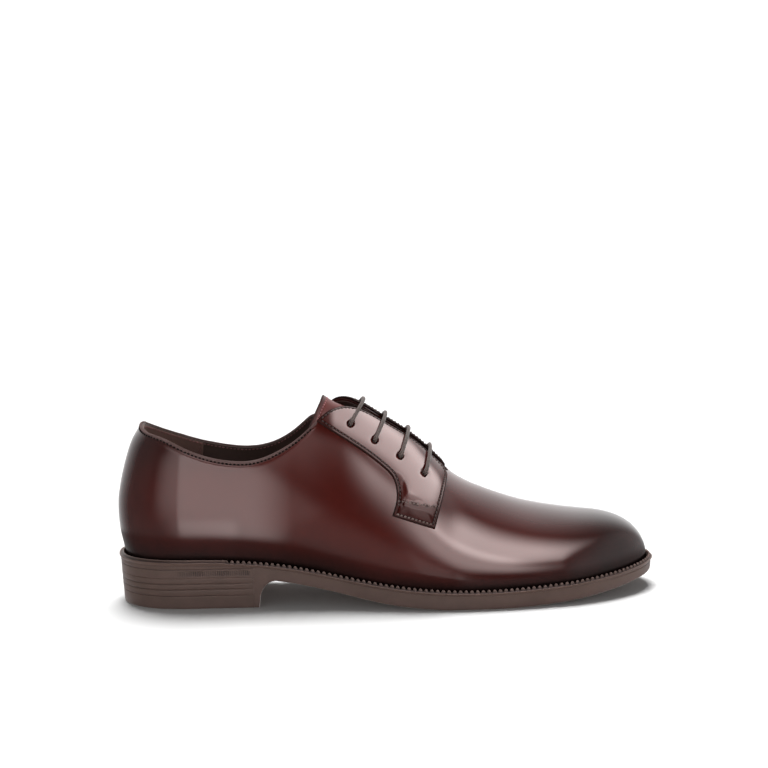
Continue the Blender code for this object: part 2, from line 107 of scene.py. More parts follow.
# the sole's levels: x and z
levels = {
    "weltTop": (
        (0.0, 27.7), (25.0, 27.9), (48.0, 27.7), (70.0, 26.9), (91.0, 24.9), (113.0, 21.2), (135.0, 16.9),
        (156.0, 13.6), (178.0, 11.6), (200.0, 11.0), (222.0, 11.3), (244.0, 12.3), (262.0, 13.6),
        (280.0, 15.3), (300.0, 17.6),
    ),
    "waist": (
        (89.0, 15.4), (97.0, 14.2), (106.0, 12.6), (115.0, 10.8), (124.0, 8.8), (134.0, 6.4),
        (145.0, 4.0), (156.0, 2.2), (168.0, 0.9), (182.0, 0.0),
    ),
    "gap": 0.3,  # clearance between pieces that meet
    "weltThickness": 3.0,
    "weltWidthHeel": 4.2,
    "weltWidthToe": 3.6,
    "soleInset": 0.9,  # the sole's edge lies inside the welt's
    "soleTaper": 0.085,  # and draws in downwards
    "backTaper": 0.65,  # share of that taper at the heel's back
    "backRun": (4.0, 30.0),
    "treadStart": 182.0,
    "treadEnd": 216.0,
    "toeSpring": 8.6,
    "toeSpringPower": 1.75,
    "breast": 76.0,
    "breastFoot": 79.0,
    "breastHollow": 2.2,
    "stackTop": 17.5,
    "topPieceHeight": 7.4,
}


# smooth curves and the shape of the last
def mix(a, b, share):
    return a + (b - a) * share


def ease(share):
    share = np.clip(share, 0.0, 1.0)
    return share * share * (3 - 2 * share)


def ramp(value, start, length):
    # eases from 0 at the start to 1; with a negative length it does so downwards
    return ease((value - start) / length)


def ridge(value, centre, width):
    return np.exp(-(((value - centre) / width) ** 2))


def smoothCurve(xs, ys):
    # natural cubic through the points
    xs, ys = np.array(xs, float), np.array(ys, float)
    step, count = np.diff(xs), len(xs)
    bend = np.zeros(count)
    if count > 2:
        band = np.diag(2 * (step[:-1] + step[1:])) + np.diag(step[1:-1], 1) + np.diag(step[1:-1], -1)
        bend[1:-1] = np.linalg.solve(band, 6 * np.diff(np.diff(ys) / step))

    def at(x):
        x = np.clip(np.asarray(x, float), xs[0], xs[-1])
        k = np.clip(np.searchsorted(xs, x, side="right") - 1, 0, count - 2)
        ahead = (xs[k + 1] - x) / step[k]
        past = 1 - ahead
        curve = (ahead**3 - ahead) * bend[k] + (past**3 - past) * bend[k + 1]
        return ahead * ys[k] + past * ys[k + 1] + curve * step[k] ** 2 / 6

    return at


def curvesOf(rows, *names):
    columns = list(zip(*rows))
    return {name: smoothCurve(columns[0], column) for name, column in zip(names, columns[1:])}


section = curvesOf(last["sections"], outerSide, innerSide, "crown", "ridge", "square")
heelCurve = curvesOf(last["heelCurve"], "x")["x"]
collarHeight = curvesOf(rim["collar"], outerSide, innerSide)
throatGap = curvesOf(rim["throat"], outerSide, innerSide)
weltTop = curvesOf(levels["weltTop"], "z")["z"]
waistUnder = curvesOf(levels["waist"], "z")["z"]


def soleTop(x):
    return weltTop(x) - levels["weltThickness"] - levels["gap"]


def feather(x):
    return soleTop(x) + levels["gap"]  # the upper's bottom edge


def roundEnd(share, roundness):
    share = np.clip(share, 0.0, 1.0)
    return (1 - share**roundness) ** (1 / roundness)


def lastPoint(x, girth):
    # girth runs from 0 at the outer bottom edge over 90 at the ridge to 180 at the inner bottom edge
    x, girth = np.broadcast_arrays(np.asarray(x, float), np.asarray(girth, float))
    heelShare = (last["heelRoundEnd"] - x) / (last["heelRoundEnd"] - last["heelBack"])
    toeShare = (x - last["toeRoundStart"]) / (last["toeTip"] - last["toeRoundStart"])
    dropShare = (x - last["toeDropStart"]) / (last["toeTip"] - last["toeDropStart"])
    narrow = roundEnd(heelShare, last["heelRoundness"]) * roundEnd(toeShare, last["toeRoundness"])
    axis = np.where(toeShare > 0, last["toeSwing"], 0.0)
    bottom = feather(x)
    rise = (section["crown"](x) - bottom) * roundEnd(dropShare, last["toeDropRoundness"])
    power = 2 / section["square"](x)
    across = np.cos(np.radians(girth))
    up = np.maximum(np.sin(np.radians(girth)), 0.0) ** power
    middle = mix(axis, section["ridge"](x), narrow)
    edge = mix(axis, np.where(across >= 0, -section[outerSide](x), section[innerSide](x)), narrow)
    tuck = last["tuck"] * narrow * np.maximum(0.0, 1 - rise * up / last["tuckHeight"]) ** 2
    y = mix(middle, edge, np.abs(across) ** power) + np.copysign(tuck, across) * np.abs(across)
    z = bottom + rise * up
    reach = np.maximum(0.0, 1 - (x - last["heelBack"]) / last["heelCurveReach"]) ** 2
    return np.stack((x + (heelCurve(z) - last["heelBack"]) * reach, y, z), axis=-1)


def lastNormal(x, girth):
    small = 0.05
    x = np.clip(x, last["heelBack"] + small, last["toeTip"] - small)
    along = lastPoint(x + small, girth) - lastPoint(x - small, girth)
    over = lastPoint(x, np.minimum(girth + small, 180.0)) - lastPoint(x, np.maximum(girth - small, 0.0))
    normal = np.cross(along, over)
    return normal / np.linalg.norm(normal, axis=-1, keepdims=True)


def raisedPoint(x, girth, height):
    return lastPoint(x, girth) + np.asarray(height, float)[..., None] * lastNormal(x, girth)


def girthAtHeight(x, z, side=outerSide):
    share = (z - feather(x)) / (section["crown"](x) - feather(x))
    girth = np.degrees(np.arcsin(np.clip(share, 0.0, 1.0) ** (section["square"](x) / 2)))
    return girth if side == outerSide else 180 - girth


def girthAtSpan(x, span, side):
    reach = section[side](x) - side * section["ridge"](x)
    girth = np.degrees(np.arccos(np.clip(span / reach, 0.0, 1.0) ** (section["square"](x) / 2)))
    return girth if side == outerSide else 180 - girth


def rimGirth(x, side):
    x = np.asarray(x, float)
    collar = girthAtHeight(x, collarHeight[side](x), side)
    closing = (x - rim["closeStart"]) / (rim["closeEnd"] - rim["closeStart"])
    throat = girthAtSpan(x, throatGap[side](x) * roundEnd(closing, rim["closeRoundness"]), side)
    blend = ease((x - rim["blendStart"]) / (rim["blendEnd"] - rim["blendStart"]))
    return np.where(x >= rim["closeEnd"], 90.0, mix(collar, throat, blend))


def outline(x, side, offset):
    # plan of the last's bottom edge, moved outwards
    small = 1e-4
    girth = 0.0 if side == outerSide else 180.0
    x, offset = np.broadcast_arrays(np.asarray(x, float), np.asarray(offset, float))
    along = lastPoint(np.minimum(x + small, last["toeTip"]), girth)
    along = (along - lastPoint(np.maximum(x - small, last["heelBack"]), girth))[..., :2]
    along = along / np.linalg.norm(along, axis=-1, keepdims=True)
    out = np.stack((-side * along[..., 1], side * along[..., 0]), axis=-1)
    return lastPoint(x, girth)[..., :2] + offset[..., None] * out


def weltWidth(x):
    share = ease((x - last["heelRoundEnd"]) / (last["toeTip"] - last["heelRoundEnd"]))
    return mix(levels["weltWidthHeel"], levels["weltWidthToe"], share)


def soleEdge(x, z):
    # it tapers downwards, less so at the heel's back
    taper = levels["soleTaper"] * mix(levels["backTaper"], 1.0, ramp(x, *levels["backRun"]))
    return weltWidth(x) - levels["soleInset"] - taper * (soleTop(x) - z)


def soleUnder(x):
    # over the heel stack, down its breast, the hollow waist, the flat tread and the toe
    start, front = levels["waist"][0], levels["breast"] + levels["gap"]
    share = np.clip((x - levels["breastFoot"]) / (start[0] - levels["breastFoot"]), 0.0, 1.0)
    hollow = start[1] * (1 - (1 - share) ** levels["breastHollow"]) ** (1 / levels["breastHollow"])
    past = np.maximum(0.0, x - levels["treadEnd"]) / (last["toeTip"] - levels["treadEnd"])
    toe = levels["toeSpring"] * past ** levels["toeSpringPower"]
    under = np.where(x < levels["treadStart"], waistUnder(x), toe)
    under = np.where(x < start[0], hollow, under)
    return np.where(x <= front, levels["stackTop"] + levels["gap"], under)


def heelRound(steps):
    turn = np.linspace(0, np.pi / 2, steps)
    depth = last["heelRoundEnd"] - last["heelBack"]
    return last["heelRoundEnd"] - depth * np.cos(turn) ** (2 / last["heelRoundness"])


def toeRound(steps):
    turn = np.linspace(0, np.pi / 2, steps)
    depth = last["toeTip"] - last["toeRoundStart"]
    return last["toeRoundStart"] + depth * np.sin(turn) ** (2 / last["toeRoundness"])


def stationsAlong(heelSteps, middleStep, toeSteps, needed=()):
    # closer together on the rounds of heel and toe
    start, end = last["heelRoundEnd"], last["toeRoundStart"]
    middle = np.arange(start + middleStep, end - middleStep / 2, middleStep)
    plain = np.concatenate((heelRound(heelSteps), middle, toeRound(toeSteps)))
    for place in needed:
        plain = plain[np.abs(plain - place) > crowding * middleStep]
    ends = (last["heelBack"], last["toeTip"])
    return np.unique(np.clip(np.concatenate((plain, needed, ends)), *ends))


def lengthAlong(points):
    return np.concatenate(((0.0,), np.cumsum(np.linalg.norm(np.diff(points, axis=0), axis=1))))


def pointsAt(places, run, points):
    return np.column_stack([np.interp(places, run, column) for column in points.T])


# the part's origin lies under the middle of the welt's box
endPlaces = [outline(x, outerSide, weltWidth(x))[0] for x in (last["heelBack"], last["toeTip"])]
fineStations = np.linspace(last["heelBack"], last["toeTip"], 400)
sidePlaces = [outline(fineStations, side, weltWidth(fineStations))[:, 1] for side in bothSides]
origin = np.array((sum(endPlaces) / 2, (sidePlaces[0].min() + sidePlaces[1].max()) / 2, 0.0))


def toFrame(points):
    return (np.asarray(points) - origin) * mm


# mesh helpers
def pick(*pieces):
    bpy.ops.object.select_all(action="DESELECT")
    for piece in pieces:
        piece.select_set(True)
    bpy.context.view_layer.objects.active = pieces[0]


def readValues(piece, name):
    values = np.zeros(len(piece.data.vertices), np.float32)
    piece.data.attributes[name].data.foreach_get("value", values)
    return values.astype(float)


def setValues(piece, name, values):
    layer = piece.data.attributes.get(name) or piece.data.attributes.new(name, "FLOAT", "POINT")
    layer.data.foreach_set("value", np.asarray(values, np.float32).ravel())


def placePoints(piece, points):
    piece.data.vertices.foreach_set("co", toFrame(points).astype(np.float32).ravel())
    piece.data.update()


def gridSheet(name, columns, rows):
    # a flat grid, with the column and row number of each of its points
    bpy.ops.object.select_all(action="DESELECT")
    bpy.ops.mesh.primitive_grid_add(x_subdivisions=columns - 1, y_subdivisions=rows - 1, size=2)
    sheet = bpy.context.object
    sheet.name = sheet.data.name = name
    flat = np.zeros(len(sheet.data.vertices) * 3, np.float32)
    sheet.data.vertices.foreach_get("co", flat)
    flat = flat.reshape(-1, 3) / 2 + 0.5
    i, j = np.rint(flat[:, :2] * (columns - 1, rows - 1)).astype(int).T
    return sheet, i, j


def weldSeams(piece, fillEnds=False):
    pick(piece)
    bpy.ops.object.mode_set(mode="EDIT")
    bpy.ops.mesh.select_all(action="SELECT")
    bpy.ops.mesh.remove_doubles(threshold=seamWeld * mm)
    bpy.ops.mesh.dissolve_degenerate(threshold=seamWeld * mm / 4)
    if fillEnds:
        bpy.ops.mesh.select_all(action="SELECT")
        bpy.ops.mesh.fill_holes(sides=0)
    bpy.ops.mesh.select_all(action="SELECT")
    bpy.ops.mesh.normals_make_consistent(inside=False)
    bpy.ops.object.mode_set(mode="OBJECT")


def shade(piece, angle=50.0):
    pick(piece)
    bpy.ops.object.shade_smooth_by_angle(angle=math.radians(angle))


def loft(name, points, angle=50.0, fillEnds=False, **shading):
    # a skin through rows of points that are already in place; what meets is welded
    sheet, i, j = gridSheet(name, points.shape[0], points.shape[1])
    placePoints(sheet, points[i, j])
    for label, values in shading.items():
        setValues(sheet, label, values[i, j])
    weldSeams(sheet, fillEnds)
    shade(sheet, angle)
    return sheet


def lastSheet(name, stations, girths, edges):
    # a sheet on the last that remembers where each point lies and how far it is from the edge
    sheet, i, j = gridSheet(name, girths.shape[0], girths.shape[1])
    stations = np.broadcast_to(stations, girths.shape)
    placePoints(sheet, lastPoint(stations[i, j], girths[i, j]))
    for label, values in (("station", stations), ("girth", girths), ("edge", edges)):
        setValues(sheet, label, values[i, j])
    return sheet


def placesOf(sheet):
    return [readValues(sheet, label) for label in ("station", "girth", "edge")]


def faceOutwards(sheet):
    # turns an open sheet so that its faces look away from the last
    normals = np.array([face.normal for face in sheet.data.polygons])
    first = np.array([face.vertices[0] for face in sheet.data.polygons])
    x, girth, _ = placesOf(sheet)
    if (normals * lastNormal(x[first], girth[first])).sum() < 0:
        pick(sheet)
        bpy.ops.object.mode_set(mode="EDIT")
        bpy.ops.mesh.select_all(action="SELECT")
        bpy.ops.mesh.flip_normals()
        bpy.ops.object.mode_set(mode="OBJECT")


def giveWall(sheet, outerHeight, innerHeight):
    # Solidify makes the second skin, then both skins go to their heights over the last
    pick(sheet)
    wall = sheet.modifiers.new("wall", "SOLIDIFY")
    wall.thickness = 1 * mm
    wall.offset = -1
    bpy.ops.object.modifier_apply(modifier=wall.name)
    x, girth, _ = placesOf(sheet)
    placePoints(sheet, raisedPoint(x, girth, np.concatenate((outerHeight, innerHeight))))
    shade(sheet, 60.0)


def roundDrop(edge, radius):
    # how far a rounded edge falls below the face beside it
    inside = np.clip(radius - edge, 0.0, radius)
    return radius - np.sqrt(radius**2 - inside**2)


def finishPiece(piece, material, nodes=()):
    piece.data.materials.clear()
    piece.data.materials.append(material)
    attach(piece, "root")
    if nodes:
        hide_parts(*nodes)
    print(piece.name, len(piece.data.polygons), "faces")
    return piece


# node helpers
def setInputs(tree, node, inputs):
    # each is a value or the socket that feeds it
    for name, value in inputs.items():
        if isinstance(value, bpy.types.NodeSocket):
            tree.links.new(value, node.inputs[name])
        else:
            node.inputs[name].default_value = value


def addNode(tree, kind, inputs=None, **settings):
    node = tree.nodes.new(kind)
    for name, value in settings.items():
        setattr(node, name, value)
    setInputs(tree, node, inputs or {})
    return node


def newGroup(name, inputs, outputs):
    group = bpy.data.node_groups.new(name, "ShaderNodeTree")
    for way, sockets in (("INPUT", inputs), ("OUTPUT", outputs)):
        for label, kind in sockets.items():
            group.interface.new_socket(label, in_out=way, socket_type=kind)
    return group, addNode(group, "NodeGroupInput").outputs, addNode(group, "NodeGroupOutput")


def mathNode(tree, operation, a, b, clamp=False):
    return addNode(tree, "ShaderNodeMath", {0: a, 1: b}, operation=operation, use_clamp=clamp).outputs[0]


def mapValue(tree, value, low, high, toLow=0.0, toHigh=1.0):
    inputs = {"Value": value, "From Min": low, "From Max": high, "To Min": toLow, "To Max": toHigh}
    return addNode(tree, "ShaderNodeMapRange", inputs, interpolation_type="SMOOTHSTEP").outputs[0]


def mixColor(tree, share, a, b):
    return addNode(tree, "ShaderNodeMix", {0: share, 6: a, 7: b}, data_type="RGBA").outputs[2]


def noise(tree, place, scale, detail, roughness=0.5):
    inputs = {"Vector": place, "Scale": scale, "Detail": detail, "Roughness": roughness}
    return addNode(tree, "ShaderNodeTexNoise", inputs).outputs["Fac"]


floatIn, colorIn = "NodeSocketFloat", "NodeSocketColor"


def makeGrainGroup():
    # fine pores and wrinkles of calf, and the broad mottle of a hand finish
    group, enter, leave = newGroup(
        "calfGrain", {"Cells": floatIn, "Wrinkles": floatIn}, {"Height": floatIn, "Mottle": floatIn}
    )
    place = addNode(group, "ShaderNodeTexCoord").outputs["Object"]
    cells = addNode(group, "ShaderNodeTexVoronoi", {"Vector": place, "Scale": enter["Cells"]}, feature="F1")
    pores = mathNode(group, "MULTIPLY", cells.outputs["Distance"], 0.7)
    setInputs(group, leave, {
        "Height": mathNode(group, "ADD", pores, noise(group, place, enter["Wrinkles"], 3.0)),
        "Mottle": mapValue(group, noise(group, place, 38.0, 4.0, 0.6), 0.28, 0.72),
    })
    return group


def makeBurnishGroup():
    # wax rubbed into the leather: dark where the burnish lies, uneven by the mottle
    group, enter, leave = newGroup(
        "handBurnish",
        {"Base": colorIn, "Dark": colorIn, "Burnish": floatIn, "Mottle": floatIn, "Unevenness": floatIn},
        {"Color": colorIn},
    )
    uneven = mathNode(group, "SUBTRACT", enter["Mottle"], 0.5)
    uneven = mathNode(group, "MULTIPLY", uneven, enter["Unevenness"])
    share = mathNode(group, "ADD", enter["Burnish"], uneven, clamp=True)
    setInputs(group, leave, {"Color": mixColor(group, share, enter["Base"], enter["Dark"])})
    return group


def makeEdgeGroup():
    # a cut edge painted dark, worn a little paler where the hand rubs it; on the upper its paint is pale, a
    # painted highlight along the rolled collar
    group, enter, leave = newGroup(
        "paintedEdge",
        {
            "Color": colorIn, "Paint": colorIn, "Edge": floatIn,
            "Width": floatIn, "Mottle": floatIn, "Seam": floatIn,
        },
        {"Color": colorIn, "Mask": floatIn},
    )
    near = mathNode(group, "DIVIDE", enter["Edge"], enter["Width"])
    painted = mathNode(group, "MAXIMUM", mapValue(group, near, 0.55, 1.25, 1.0, 0.0), enter["Seam"])
    rubbed = mathNode(group, "MULTIPLY", painted, mapValue(group, enter["Mottle"], 0.2, 1.0, 1.0, 0.82))
    setInputs(group, leave, {
        "Color": mixColor(group, rubbed, enter["Color"], enter["Paint"]),
        "Mask": painted,
    })
    return group


def makeRubberGroup():
    # the dull skin of moulded rubber, waxed cord and thread, with its flecks
    outputs = {"Height": floatIn, "Mottle": floatIn}
    group, enter, leave = newGroup("rubberSkin", {"Fineness": floatIn}, outputs)
    place = addNode(group, "ShaderNodeTexCoord").outputs["Object"]
    setInputs(group, leave, {
        "Height": noise(group, place, enter["Fineness"], 3.0),
        "Mottle": mapValue(group, noise(group, place, 90.0, 5.0, 0.65), 0.3, 0.7),
    })
    return group


grainGroup, burnishGroup = makeGrainGroup(), makeBurnishGroup()
edgeGroup, rubberGroup = makeEdgeGroup(), makeRubberGroup()


def newMaterial(name, sockets):
    material = bpy.data.materials.new(name)
    material.use_nodes = True
    tree = material.node_tree
    shader = tree.nodes["Principled BSDF"]
    setInputs(tree, shader, sockets)
    return material, tree, shader


def useGroup(tree, group, **inputs):
    return addNode(tree, "ShaderNodeGroup", inputs, node_tree=group).outputs


def attributeOf(tree, name):
    return addNode(tree, "ShaderNodeAttribute", attribute_name=name).outputs["Fac"]


def bumpOf(tree, height, distance):
    inputs = {"Height": height, "Distance": distance * mm, "Strength": 1.0}
    return addNode(tree, "ShaderNodeBump", inputs).outputs["Normal"]


def color(red, green, blue):
    return (red, green, blue, 1.0)


def leatherMaterial(name, look):
    # polished calf: burnished colour, painted edges, fine grain under a wax coat
    material, tree, shader = newMaterial(name, look["sockets"])
    grain = useGroup(tree, grainGroup, Cells=look["cells"], Wrinkles=look["wrinkles"])
    burnish = useGroup(
        tree, burnishGroup, Base=look["base"], Dark=look["dark"], Burnish=attributeOf(tree, "burnish"),
        Mottle=grain["Mottle"], Unevenness=look["unevenness"],
    )
    edge = useGroup(
        tree, edgeGroup, Color=burnish["Color"], Paint=look["paint"], Edge=attributeOf(tree, "edge"),
        Width=look["paintWidth"], Mottle=grain["Mottle"], Seam=attributeOf(tree, "sewn"),
    )
    rough = mapValue(tree, grain["Mottle"], 0.0, 1.0, look["roughness"] * 0.88, look["roughness"] * 1.12)
    painted = mathNode(tree, "MULTIPLY", edge["Mask"], look["paintRoughness"])
    # where the leather meets the welt and along the throat, a painted shade darkens the colour and thins the
    # coat
    crease = attributeOf(tree, "crease")
    gloss = mapValue(tree, edge["Mask"], 0.0, 1.0, look["coat"], look["coat"] * 0.15)
    gloss = mathNode(tree, "MULTIPLY", gloss, mapValue(tree, crease, 0.0, 1.0, 1.0, 0.1))
    gloss = mathNode(tree, "MULTIPLY", gloss, mathNode(tree, "SUBTRACT", 1.0, attributeOf(tree, "dull")))
    setInputs(tree, shader, {
        "Base Color": mixColor(tree, crease, edge["Color"], look["creaseShade"]),
        "Roughness": mathNode(tree, "ADD", rough, painted),
        "Coat Weight": gloss,
        "Normal": bumpOf(tree, grain["Height"], look["grainDepth"]),
    })
    return material


calf = {
    "base": color(0.070, 0.0100, 0.0074),
    "dark": color(0.0145, 0.0080, 0.0074),
    "paint": color(0.024, 0.0125, 0.0112),
    # colour of the painted shade in the crease over the welt and at the throat
    "creaseShade": color(0.005, 0.0028, 0.0025),
    "paintWidth": 0.9,
    "paintRoughness": 0.18,
    "unevenness": 0.16,
    "roughness": 0.40,
    "coat": 1.0,
    "cells": 1700.0,
    "wrinkles": 380.0,
    "grainDepth": 0.006,
    "sockets": {"Specular IOR Level": 0.0, "Coat Roughness": 0.13, "Coat IOR": 1.5},
}
# on the upper the edge paint is a pale band: a painted highlight along the rolled collar's edge
calfUpper = leatherMaterial("calfUpper", {**calf, "paint": color(0.13, 0.085, 0.080), "paintWidth": 2.3})
calfFacing = leatherMaterial("calfFacing", {**calf, "base": color(0.066, 0.0094, 0.0068)})
calfTongue = leatherMaterial("calfTongue", {
    **calf,
    "base": color(0.125, 0.020, 0.016),
    "dark": color(0.05, 0.011, 0.010),
    "roughness": 0.46,
    "coat": 0.5,
    "grainDepth": 0.012,
    "sockets": {"Specular IOR Level": 0.1, "Coat Roughness": 0.28},
})


def matteMaterial(name, look, **changes):
    # two tones mixed by the mottle or by an attribute, and marks over them
    look = {**look, **changes}
    material, tree, shader = newMaterial(name, look["sockets"])
    skin = useGroup(tree, look["skin"], **look["scales"])
    share = attributeOf(tree, look["mask"]) if "mask" in look else skin["Mottle"]
    shades = mixColor(tree, share, *look["tones"])
    for label, mark in look.get("marks", ()):
        shades = mixColor(tree, attributeOf(tree, label), shades, mark)
    setInputs(tree, shader, {
        "Base Color": shades,
        "Roughness": mapValue(tree, skin["Mottle"], 0.0, 1.0, *look["roughness"]),
        "Normal": bumpOf(tree, skin["Height"], look["depth"]),
    })
    return material


liningLook = {
    "sockets": {"Specular IOR Level": 0.25, "Sheen Weight": 0.12, "Sheen Roughness": 0.4},
    "skin": grainGroup,
    "scales": {"Cells": 1200.0, "Wrinkles": 600.0},
    "tones": (color(0.042, 0.022, 0.017), color(0.055, 0.030, 0.023)),
    "roughness": (0.5, 0.6),
    "depth": 0.02,
}
liningCalf = matteMaterial("liningCalf", liningLook)
heelGrip = matteMaterial(
    "heelGripSuede", liningLook, tones=(color(0.145, 0.080, 0.064), color(0.178, 0.100, 0.080)),
    roughness=(0.8, 0.9), depth=0.06,
)
sockCalf = matteMaterial(
    "sockCalf", liningLook, tones=(color(0.075, 0.042, 0.028), color(0.095, 0.054, 0.037)),
    roughness=(0.55, 0.65),
)
soleRubber = matteMaterial("soleRubber", {
    "sockets": {"Specular IOR Level": 0.35},
    "skin": rubberGroup,
    "scales": {"Fineness": 2400.0},
    "tones": (color(0.083, 0.047, 0.036), color(0.098, 0.056, 0.044)),
    # marks: painted shade in grooves and gaps, then a painted highlight on bead tops and edges
    "marks": (("groove", color(0.022, 0.013, 0.011)), ("crest", color(0.23, 0.16, 0.137))),
    "roughness": (0.46, 0.58),
    "depth": 0.02,
})
# waxed cotton: the braid's strands are in the mesh, fibres in the bump; darker between the strands, partly
# the lace's own dark base and partly painted shade in the braid's hollows
waxedLace = matteMaterial("waxedLace", {
    "sockets": {"Specular IOR Level": 0.4, "Sheen Weight": 0.2},
    "skin": rubberGroup,
    "scales": {"Fineness": 3800.0},
    "mask": "strand",
    "tones": (color(0.011, 0.006, 0.005), color(0.135, 0.096, 0.082)),
    "roughness": (0.42, 0.6),
    "depth": 0.05,
})
threadLook = {
    "sockets": {"Specular IOR Level": 0.4},
    "skin": rubberGroup,
    "scales": {"Fineness": 5200.0},
    "roughness": (0.45, 0.6),
    "depth": 0.04,
}
darkThread = matteMaterial(
    "darkThread", threadLook, tones=(color(0.005, 0.0025, 0.002), color(0.009, 0.0045, 0.004)),
    sockets={"Specular IOR Level": 0.05},
)
# the pale thread is the brown thread made paler: a painted highlight on the tab's stitches
brownThread, highlightThread, pinkThread, redThread = (
    matteMaterial(name, threadLook, tones=tones)
    for name, tones in (
        ("brownThread", (color(0.030, 0.017, 0.015), color(0.055, 0.034, 0.030))),
        ("highlightThread", (color(0.13, 0.085, 0.075), color(0.21, 0.15, 0.135))),
        ("pinkThread", (color(0.34, 0.12, 0.13), color(0.46, 0.20, 0.21))),
        ("redThread", (color(0.13, 0.035, 0.036), color(0.20, 0.07, 0.07))),
    )
)
print("materials made")

# four pairs of punched eyelets: place of the outer one, distance from the ridge, the lace bar's bow forward
eyelets = (
    {"x": 131.5, "span": 20.6, "forward": 6.2},
    {"x": 144.5, "span": 23.2, "forward": 5.2},
    {"x": 158.3, "span": 25.2, "forward": 4.0},
    {"x": 171.2, "span": 27.2, "forward": 2.6},
)


def eyeletPlaces(sides=bothSides):
    return [(eye["x"], float(girthAtSpan(eye["x"], eye["span"], side))) for side in sides for eye in eyelets]


def distanceTo(points, targets):
    tree = KDTree(len(targets))
    for k, target in enumerate(targets):
        tree.insert(target, k)
    tree.balance()
    return np.array([tree.find(point)[2] for point in points])


def punchHoles(sheet, places, radius):
    # faces inside each hole go, the points round it are drawn onto a circle, and those beyond are evened out
    centres = [lastPoint(*place) for place in places]
    pick(sheet)
    bpy.ops.object.mode_set(mode="EDIT")
    bpy.ops.mesh.select_mode(type="FACE")
    bpy.ops.mesh.select_all(action="DESELECT")
    bpy.ops.object.mode_set(mode="OBJECT")
    for face in sheet.data.polygons:
        face.select = any((Vector(toFrame(centre)) - face.center).length < radius * mm for centre in centres)
    bpy.ops.object.mode_set(mode="EDIT")
    bpy.ops.mesh.delete(type="FACE")
    bpy.ops.mesh.select_mode(type="VERT")
    bpy.ops.mesh.select_all(action="DESELECT")
    bpy.ops.mesh.select_non_manifold(use_wire=False, use_multi_face=False, use_non_contiguous=False)
    bpy.ops.object.mode_set(mode="OBJECT")
    onEdge = np.array([point.select for point in sheet.data.vertices])
    station, girth, _ = placesOf(sheet)
    for (x, around), centre in zip(places, centres):
        for _ in range(3):
            far = np.linalg.norm(lastPoint(station, girth) - centre, axis=1)
            ring = onEdge & (far < 2 * radius)
            grow = radius / far[ring]
            station[ring] = x + (station[ring] - x) * grow
            girth[ring] = around + (girth[ring] - around) * grow
    ends = np.zeros(2 * len(sheet.data.edges), np.int32)
    sheet.data.edges.foreach_get("vertices", ends)
    first, second = ends[::2], ends[1::2]
    links = np.bincount(ends, minlength=len(station))
    loose = ~onEdge & (distanceTo(lastPoint(station, girth), centres) < 2.4 * radius)
    for _ in range(10):
        for values in (station, girth):
            total = np.bincount(first, values[second], len(values))
            total += np.bincount(second, values[first], len(values))
            values[loose] = (total / links)[loose]
    setValues(sheet, "station", station)
    setValues(sheet, "girth", girth)
    placePoints(sheet, lastPoint(station, girth))


# upper: vamp and quarters, a skin of calf that rolls over at the rim
upper = {
    "thickness": 1.2,
    "rimRound": 0.6,
    # rows near the rim, as distances from it, then even rows down to the welt
    "rimRows": (
        0.0, 0.05, 0.16, 0.34, 0.55, 0.75, 0.95, 1.15, 1.32, 1.5, 1.7, 1.9, 2.1, 2.35, 2.65, 3.0, 3.8, 5.2,
    ),
    "evenRows": 36,
    "shortWall": 40.0,  # shorter walls, at the toe tip, squeeze the rows
    "closeStep": 0.6,  # of the stations where the throat closes
    "holeRadius": 2.2,
    "collarEnd": (107.0, 7.0),  # where the turned collar edge runs out under the facing
    "facedStart": 115.0,  # from here the rim lies under the facing
    "bandBulge": 0.32,
    "bandPlace": (0.8, 0.55),  # its distance from the rim and its width
    "stitchInset": 1.85,
    "stitchGroove": 0.2,
    "stitchGrooveWidth": 0.3,
    "seamLip": 0.2,  # the leather swells again below the stitches
    "seamLipPlace": (2.7, 0.4),
    "backSeam": 0.22,
    "backSeamWidth": 0.5,
    "backSeamEnd": 20.0,
    "softFade": 8.0,  # towards the rim its swells fade
    # the crease's darkness is painted shade
    "creaseHeight": (3.4, 2.2),  # of the dark crease over the welt, at the heel and further forward
    "creaseChange": (80.0, 70.0),
    "creaseFull": 0.4,
    "throatShade": 0.6,
    "throatShadeRun": (1.8, -1.0),
    "farEdge": 60.0,
    # hollows and swells of the stretched leather: x, girth, length, width, height
    "swells": (
        (208.0, 52.0, 13.0, 22.0, -0.35), (196.0, 62.0, 9.0, 18.0, 0.25), (224.0, 46.0, 14.0, 24.0, 0.22),
        (120.0, 30.0, 22.0, 12.0, -0.35), (262.0, 50.0, 18.0, 30.0, 0.20), (208.0, 128.0, 13.0, 22.0, -0.35),
        (196.0, 118.0, 9.0, 18.0, 0.25), (120.0, 150.0, 22.0, 12.0, -0.35),
    ),
}

